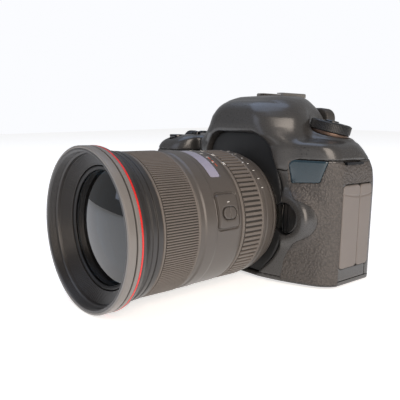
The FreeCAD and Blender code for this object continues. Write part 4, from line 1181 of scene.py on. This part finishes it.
UP, BACK = (0, 0, 1), (0, 1, 0)
top_keys = [key_mesh("key", radius, spot, UP, 0.7, 3.6) for radius, spot in TOP_KEYS]
piece("top_key_caps", join_meshes("top_key_caps", top_keys), "top_keys", gloss_abs, "top_keys")
piece("shutter_button_cap", key_mesh("cap", *SHUTTER_BUTTON, UP, -0.8, 3.0, 0.5),
      "shutter_button", gloss_abs, "shutter_button")
for name, (radius, (x, z)) in REAR_KEYS.items():
    piece(name + "_cap", key_mesh(name, radius, (x, BACK_Y, z), BACK, 1.3, 3.9), name,
          gloss_abs, name)
for name, keys in (("menu_keys", MENU_KEYS), ("left_keys", LEFT_KEYS)):
    caps = [key_mesh("key", radius, (x, BACK_Y, z), BACK, 1.3, 3.9) for radius, (x, z) in keys]
    piece(name + "_caps", join_meshes(name, caps), name, gloss_abs, name)

MAIN_PLACE = axis_place(MAIN_DIAL[1], (1, 0, 0))
turned("main_dial_wheel",
       [(-3.4, 2.0), (-3.4, 6.3), (-2.9, 6.7), (2.9, 6.7), (3.4, 6.3), (3.4, 2.0)], MAIN_PLACE,
       "main_dial", black_abs, "main_dial", bars=[
           row(40, 6.6, -2.8, 5.6, 0.75, 0.45, 0.6, 0.1, black_abs)], sides=96)
turned("main_dial_axle", [(-5.6, 0), (-5.6, 1.9), (5.6, 1.9), (5.6, 0)], MAIN_PLACE,
       "camera_body", steel, (), sides=32)
QUICK_PLACE = axis_place((QUICK_DIAL[1][0], BACK_Y, QUICK_DIAL[1][1]), BACK)
turned("quick_dial_wheel",
       [(-1.5, 6.45), (-1.5, 16.4), (0.6, 16.4), (1.2, 16.0), (1.4, 15.0), (1.0, 13.0),
        (0.7, 9.6), (0.9, 8.0), (0.9, 6.45)], QUICK_PLACE, "quick_dial", black_abs,
       "quick_dial", ease=0.3, bars=[
           row(90, 16.2, -1.3, 2.1, 0.7, 0.4, 0.5, 0.08, black_abs)])
turned("set_button_cap", [(-3.0, 0), (-3.0, 2.8), (-0.4, 2.8), (-0.4, 6.2), (1.4, 6.2),
                          (1.8, 5.7), (1.5, 3.0), (1.4, 0)], QUICK_PLACE, "set_button",
       gloss_abs, "set_button", sides=64)
turned("joystick_cap", [(-3.2, 0), (-3.0, 1.8), (-0.8, 2.6), (0.6, 1.8), (1.2, 1.9), (1.3, 3.3),
                        (2.2, 3.3), (2.7, 2.6), (2.4, 1.2), (2.3, 0)],
       axis_place((JOYSTICK[0], BACK_Y, JOYSTICK[1]), BACK), "joystick", cup_rubber,
       "joystick", sides=48, bars=[
           row(12, 2.0, 2.1, 0.5, 0.4, 0.4, 0.8, 0.1, cup_rubber)])


# %% Lens release button
def release_button(x, y, z):
    """Disc with a hollow for the finger, cut straight beside the mount."""
    radius, (cx, cz) = RELEASE
    disc = np.hypot(x - cx, z - cz) - radius
    crown = -34.0 + 0.012 * ((x - cx) ** 2 + (z - cz) ** 2) - y
    return common(common(disc, np.maximum(crown, y + 26.3), 1.1), 37.0 - x, 0.6)


formed("lens_release_cap", release_button, (36, -35, 29), (50, -26, 51), "lens_release_button",
       gloss_abs, "lens_release_button", cell=0.45)

# %% [markdown]
# Screws are one turned head with a cross recess, set at every screw's place by a second
# tree. The points carry the direction that each head faces.


# %% Geometry Nodes: heads on spots
def heads_tree():
    tree = bpy.data.node_groups.new("heads_on_spots", "GeometryNodeTree")
    given = declare(tree, Head="Object", Finish="Material")
    head = add(tree, "GeometryNodeObjectInfo", [(given["Head"], "Object")])
    facing = add(tree, "GeometryNodeInputNamedAttribute", (), {"Name": "facing"},
                 data_type="FLOAT_VECTOR")
    size = add(tree, "GeometryNodeInputNamedAttribute", (), {"Name": "size"}, data_type="FLOAT")
    turn = add(tree, "FunctionNodeAlignRotationToVector", [(facing.outputs[0], "Vector")], axis="Z")
    laid = add(tree, "GeometryNodeInstanceOnPoints",
               [(given["Geometry"], "Points"), (head.outputs["Geometry"], "Instance"),
                (turn.outputs[0], "Rotation"), (size.outputs[0], "Scale")])
    real = add(tree, "GeometryNodeRealizeInstances", [(laid.outputs[0], "Geometry")])
    painted = add(tree, "GeometryNodeSetMaterial",
                  [(real.outputs[0], "Geometry"), (given["Finish"], "Material")])
    add(tree, "NodeGroupOutput", [(painted.outputs[0], "Geometry")])
    return tree


HEADS = heads_tree()


def spots_mesh(spots):
    """Points with a facing direction and a size, from (place, direction, size) in millimetres."""
    mesh = mesh_of("spots", [place for place, _, _ in spots], [])
    facing = mesh.attributes.new("facing", "FLOAT_VECTOR", "POINT")
    facing.data.foreach_set("vector", [c for _, direction, _ in spots for c in direction])
    size = mesh.attributes.new("size", "FLOAT", "POINT")
    size.data.foreach_set("value", [scale for _, _, scale in spots])
    return mesh


def set_heads(name, head_mesh, spots, body, material, nodes=()):
    """Piece made of one head at every spot."""
    head = bpy.data.objects.new("head", head_mesh)
    bpy.context.scene.collection.objects.link(head)
    mesh = run_tree(spots_mesh(spots), HEADS, Head=head, Finish=material)
    bpy.data.objects.remove(head)
    mesh.name = name
    return piece(name, mesh, body, None, nodes)


print("heads tree with", len(HEADS.nodes), "nodes")


# %% Screws
def screw_head_mesh():
    """Unit head of radius 1 mm with a cross recess, its top at the origin's height."""
    def head(x, y, z):
        across = np.hypot(x, y)
        button = common(across - 1.0, abs(z + 0.45) - 0.45, 0.12)
        arm = np.minimum(np.maximum(abs(x) - 0.13, abs(y) - 0.62),
                         np.maximum(abs(y) - 0.13, abs(x) - 0.62))
        return less(button, common(arm, -0.45 - z, 0.05), 0.06)
    points, faces = net(head, (-1.05, -1.05, -1), (1.05, 1.05, 0.1), 0.11)
    return mesh_of("screw_head", settle(head, points, 0.11), faces)


# Base, back, shoe and mount.
screws = [((x, y, 0.15), (0, 0, -1), 1.7) for x in (-46, 20, 58, -20) for y in (-16, 16)]
screws += [((x, BACK_Y + 0.05, z), (0, 1, 0), 1.4)
           for x, z in ((58.5, 4.5), (-78.0, 8.0), (-30.0, 70.0), (25.0, 66.5))]
screws += [((x, y, HUMP_Z + 0.35), (0, 0, 1), 1.15) for x in (-5.5, 5.5) for y in (-3.5, 10)]
for quarter in range(4):
    angle = math.radians(45 + 90 * quarter)
    screws.append(((30.9 * math.cos(angle), FLANGE_Y + 0.05, AXIS_Z + 30.9 * math.sin(angle)),
                   (0, -1, 0), 1.25))
set_heads("screw_heads", screw_head_mesh(), screws, "camera_body", black_oxide, "fasteners")

# %% [markdown]
# The microphone is a ring of five fine holes in the shoulder, drawn as dark discs a hundredth of a
# millimetre proud of the paint: the discs are painted shade in place of the holes' depth.


# %% Microphone holes
MICROPHONE = (47.5, 81.0)        # middle of the ring of holes in x and z


def on_body(x, z, start_y=-45.0):
    """Nearest body surface behind a point in front of the camera, and its outward slope."""
    spot = np.array([x, start_y, z])
    for _ in range(60):
        spot[1] += 0.8 * float(body_form(*spot[:, None])[0])
    here = float(body_form(*spot[:, None])[0])
    slope = [float(body_form(*(spot + 0.05 * axis)[:, None])[0]) - here for axis in np.eye(3)]
    return spot, Vector(slope).normalized()


disc = turned_mesh("disc", [(-0.6, 0), (-0.6, 0.45), (0.02, 0.45), (0.02, 0)], 0, 20)
holes = []
for turn in range(5):
    angle = math.radians(90 + 72 * turn)
    spot, slope = on_body(MICROPHONE[0] + 2.3 * math.cos(angle),
                          MICROPHONE[1] + 2.1 * math.sin(angle))
    holes.append((spot, slope, 1.0))
# The dark discs are painted shade where the holes go into the shoulder.
set_heads("microphone_holes", disc, holes, "camera_body", dull_abs, ())

# %% [markdown]
# Printed marks: numbers for the focal length and the distance, and plain index lines. The
# built-in font makes flat letters, which are then wrapped round the barrel.


# %% Printed marks
def letters(text, size):
    """Mesh of a short text, centred at the origin, a few hundredths thick, in millimetres."""
    curve = bpy.data.curves.new("letters", "FONT")
    curve.body, curve.size, curve.extrude = text, size, 0.03
    curve.align_x, curve.align_y = "CENTER", "CENTER"
    holder = bpy.data.objects.new("letters", curve)
    bpy.context.scene.collection.objects.link(holder)
    bpy.context.view_layer.update()
    mesh = bpy.data.meshes.new_from_object(holder)
    bpy.data.objects.remove(holder)
    return mesh


def wrapped(mesh, degrees, distance, radius):
    """Lay a flat mesh on the barrel; it reads from +X over the top, with its head forwards."""
    for vertex in mesh.vertices:
        u, v, w = vertex.co
        turn = math.radians(degrees) + u / radius
        reach = radius + w
        vertex.co = Vector((reach * math.cos(turn), FLANGE_Y - distance - v,
                            AXIS_Z + reach * math.sin(turn))) * MM
    return mesh


def line_mesh(width, length):
    """Flat index line, in millimetres."""
    count = max(2, int(width / 0.8))
    xs = np.linspace(-width / 2, width / 2, count + 1)
    points = [(x, y, z) for x in xs for y in (-length / 2, length / 2) for z in (-0.03, 0.03)]
    mesh = bpy.data.meshes.new("line")
    faces = []
    for i in range(count):
        a, b = 4 * i, 4 * (i + 1)
        faces += [(a + 1, b + 1, b + 3, a + 3), (a, a + 2, b + 2, b), (a, b, b + 1, a + 1),
                  (a + 2, a + 3, b + 3, b + 2)]
    faces += [(0, 1, 3, 2), (4 * count, 4 * count + 2, 4 * count + 3, 4 * count + 1)]
    mesh.from_pydata(points, [], faces)
    return mesh


def marks(name, items, body, material):
    """Printed piece from (mesh, degrees, distance, radius) items."""
    piece(name, join_meshes(name, [wrapped(*item) for item in items]), body, material, ())


focal = [("16", 118), ("20", 103), ("24", 88), ("28", 73), ("35", 58)]
marks("focal_length_marks",
      [(letters(text, 2.6), turn, 32.0, 39.45) for text, turn in focal]
      + [(line_mesh(0.35, 1.2), turn, 16.6, 39.45) for _, turn in focal],
      "zoom_ring", white_ink)
marks("focal_index_marks", [(line_mesh(0.45, 3.4), 88, 10.5, 38.72)] +
      [(line_mesh(0.3, 1.4), turn, 12.4, 38.8) for turn in range(30, 160, 9)],
      "lens", white_ink)
metres = [("0.3", 128), ("0.5", 108), ("0.7", 90), ("1", 74), ("3", 60)]
marks("distance_scale_marks", [(letters(text, 2.4), turn, 46.6, 37.98) for text, turn in metres]
      + [(line_mesh(0.3, 1.6), turn, 43.6, 37.98) for turn in range(50, 135, 6)],
      "distance_scale", badge_gloss)
marks("depth_of_field_marks", [(line_mesh(0.35, 1.8), 90 + turn, 39.6, 39.86)
                               for turn in (-30, -22, -14, 0, 14, 22, 30)],
      "lens", white_ink)
marks("focus_shift_marks",
      [(line_mesh(2.2, 0.5), 66 - 5 * turn, 39.2, 39.86) for turn in range(3)],
      "lens", orange_ink)
marks("hood_marks", [(line_mesh(0.9, 0.9), turn, 109.3, 44.27) for turn in (43, -21.5)],
      "lens", white_ink)
marks("switch_marks", [(line_mesh(0.3, 1.6), 20.6, 44.0, 40.88)], "lens", white_ink)

# %% [markdown]
# A pale floor, a soft overhead light with a cool cast, a large warm light from the right
# and the camera. The camera rests on the edge of its base and the rim of its lens, so the
# floor is tilted by the small angle between them.

# %% Floor, lights and world
floor_mesh = bpy.data.meshes.new("floor")
rise = 4.3 / (145 + BACK_Y)      # the lens rim hangs 4.3 mm under the base
near, far = -2.0, 2.0
floor_mesh.from_pydata([(x, y, (y - BACK_Y * MM) * rise - 0.0004)
                        for x, y in ((near, near), (far, near), (far, far), (near, far))], [],
                       [(0, 1, 2, 3)])
floor = bpy.data.objects.new("floor", floor_mesh)
bpy.context.scene.collection.objects.link(floor)
# Matt white studio paper.
paper = finish("matt_studio_paper", "#f6f5f3", "#f2f1ef", (0.8, 0.9), grain=2.0, bump=0.02,
               patch=120.0, Emission_Color=linear("#ffffff"), Emission_Strength=0.6)
floor_mesh.materials.append(paper)


def soft_light(name, place, target, size, power, colour):
    """Square area light that looks at a target."""
    data = bpy.data.lights.new(name, "AREA")
    data.shape, data.size, data.energy = "SQUARE", size, power
    data.color = linear(colour)[:3]
    light = bpy.data.objects.new(name, data)
    light.location = place
    light.rotation_euler = (Vector(target) - Vector(place)).to_track_quat("-Z", "Y").to_euler()
    bpy.context.scene.collection.objects.link(light)
    return light


middle = (0, -0.04, 0.05)
soft_light("sky_panel", (-0.3, -0.1, 1.2), middle, 1.1, 6, "#c4daff")
soft_light("warm_side_panel", (1.1, -0.5, 0.5), middle, 1.0, 17, "#fff0e2")
soft_light("front_panel", (-0.5, -1.2, 0.5), middle, 0.7, 1.8, "#dbe6ff")
world = bpy.data.worlds.new("studio")
world.use_nodes = True
world.node_tree.nodes.clear()
# The room is dim, so that the panels shape the forms; seen directly it is white paper.
seen = add(world.node_tree, "ShaderNodeLightPath").outputs["Is Camera Ray"]
strength = add(world.node_tree, "ShaderNodeMapRange", [(seen, 0)],
               {1: 0.0, 2: 1.0, 3: 0.32, 4: 1.0})
tone = add(world.node_tree, "ShaderNodeBackground", [(strength.outputs[0], "Strength")],
           {"Color": linear("#fbfcff")})
add(world.node_tree, "ShaderNodeOutputWorld", [(tone.outputs[0], "Surface")])
bpy.context.scene.world = world

# %% Camera
azimuth, elevation, roll = math.radians(49.503), math.radians(8.959), math.radians(1.080)
camera = bpy.data.cameras.new("view")
camera.lens, camera.sensor_width = 47.4, 36.0
camera.clip_start = 0.02
eye = bpy.data.objects.new("view", camera)
back = Vector((math.sin(azimuth) * math.cos(elevation), -math.cos(azimuth) * math.cos(elevation),
               math.sin(elevation)))
right = Vector((math.cos(azimuth), math.sin(azimuth), 0))
up = back.cross(right)
level, upright = (right * math.cos(roll) + up * math.sin(roll),
                  up * math.cos(roll) - right * math.sin(roll))
eye.matrix_world = Matrix.Translation((0.24327, -0.27538, 0.09969)) @ Matrix(
    (level, upright, back)).transposed().to_4x4()
bpy.context.scene.collection.objects.link(eye)
bpy.context.scene.camera = eye
bpy.context.scene.view_settings.view_transform = "Standard"
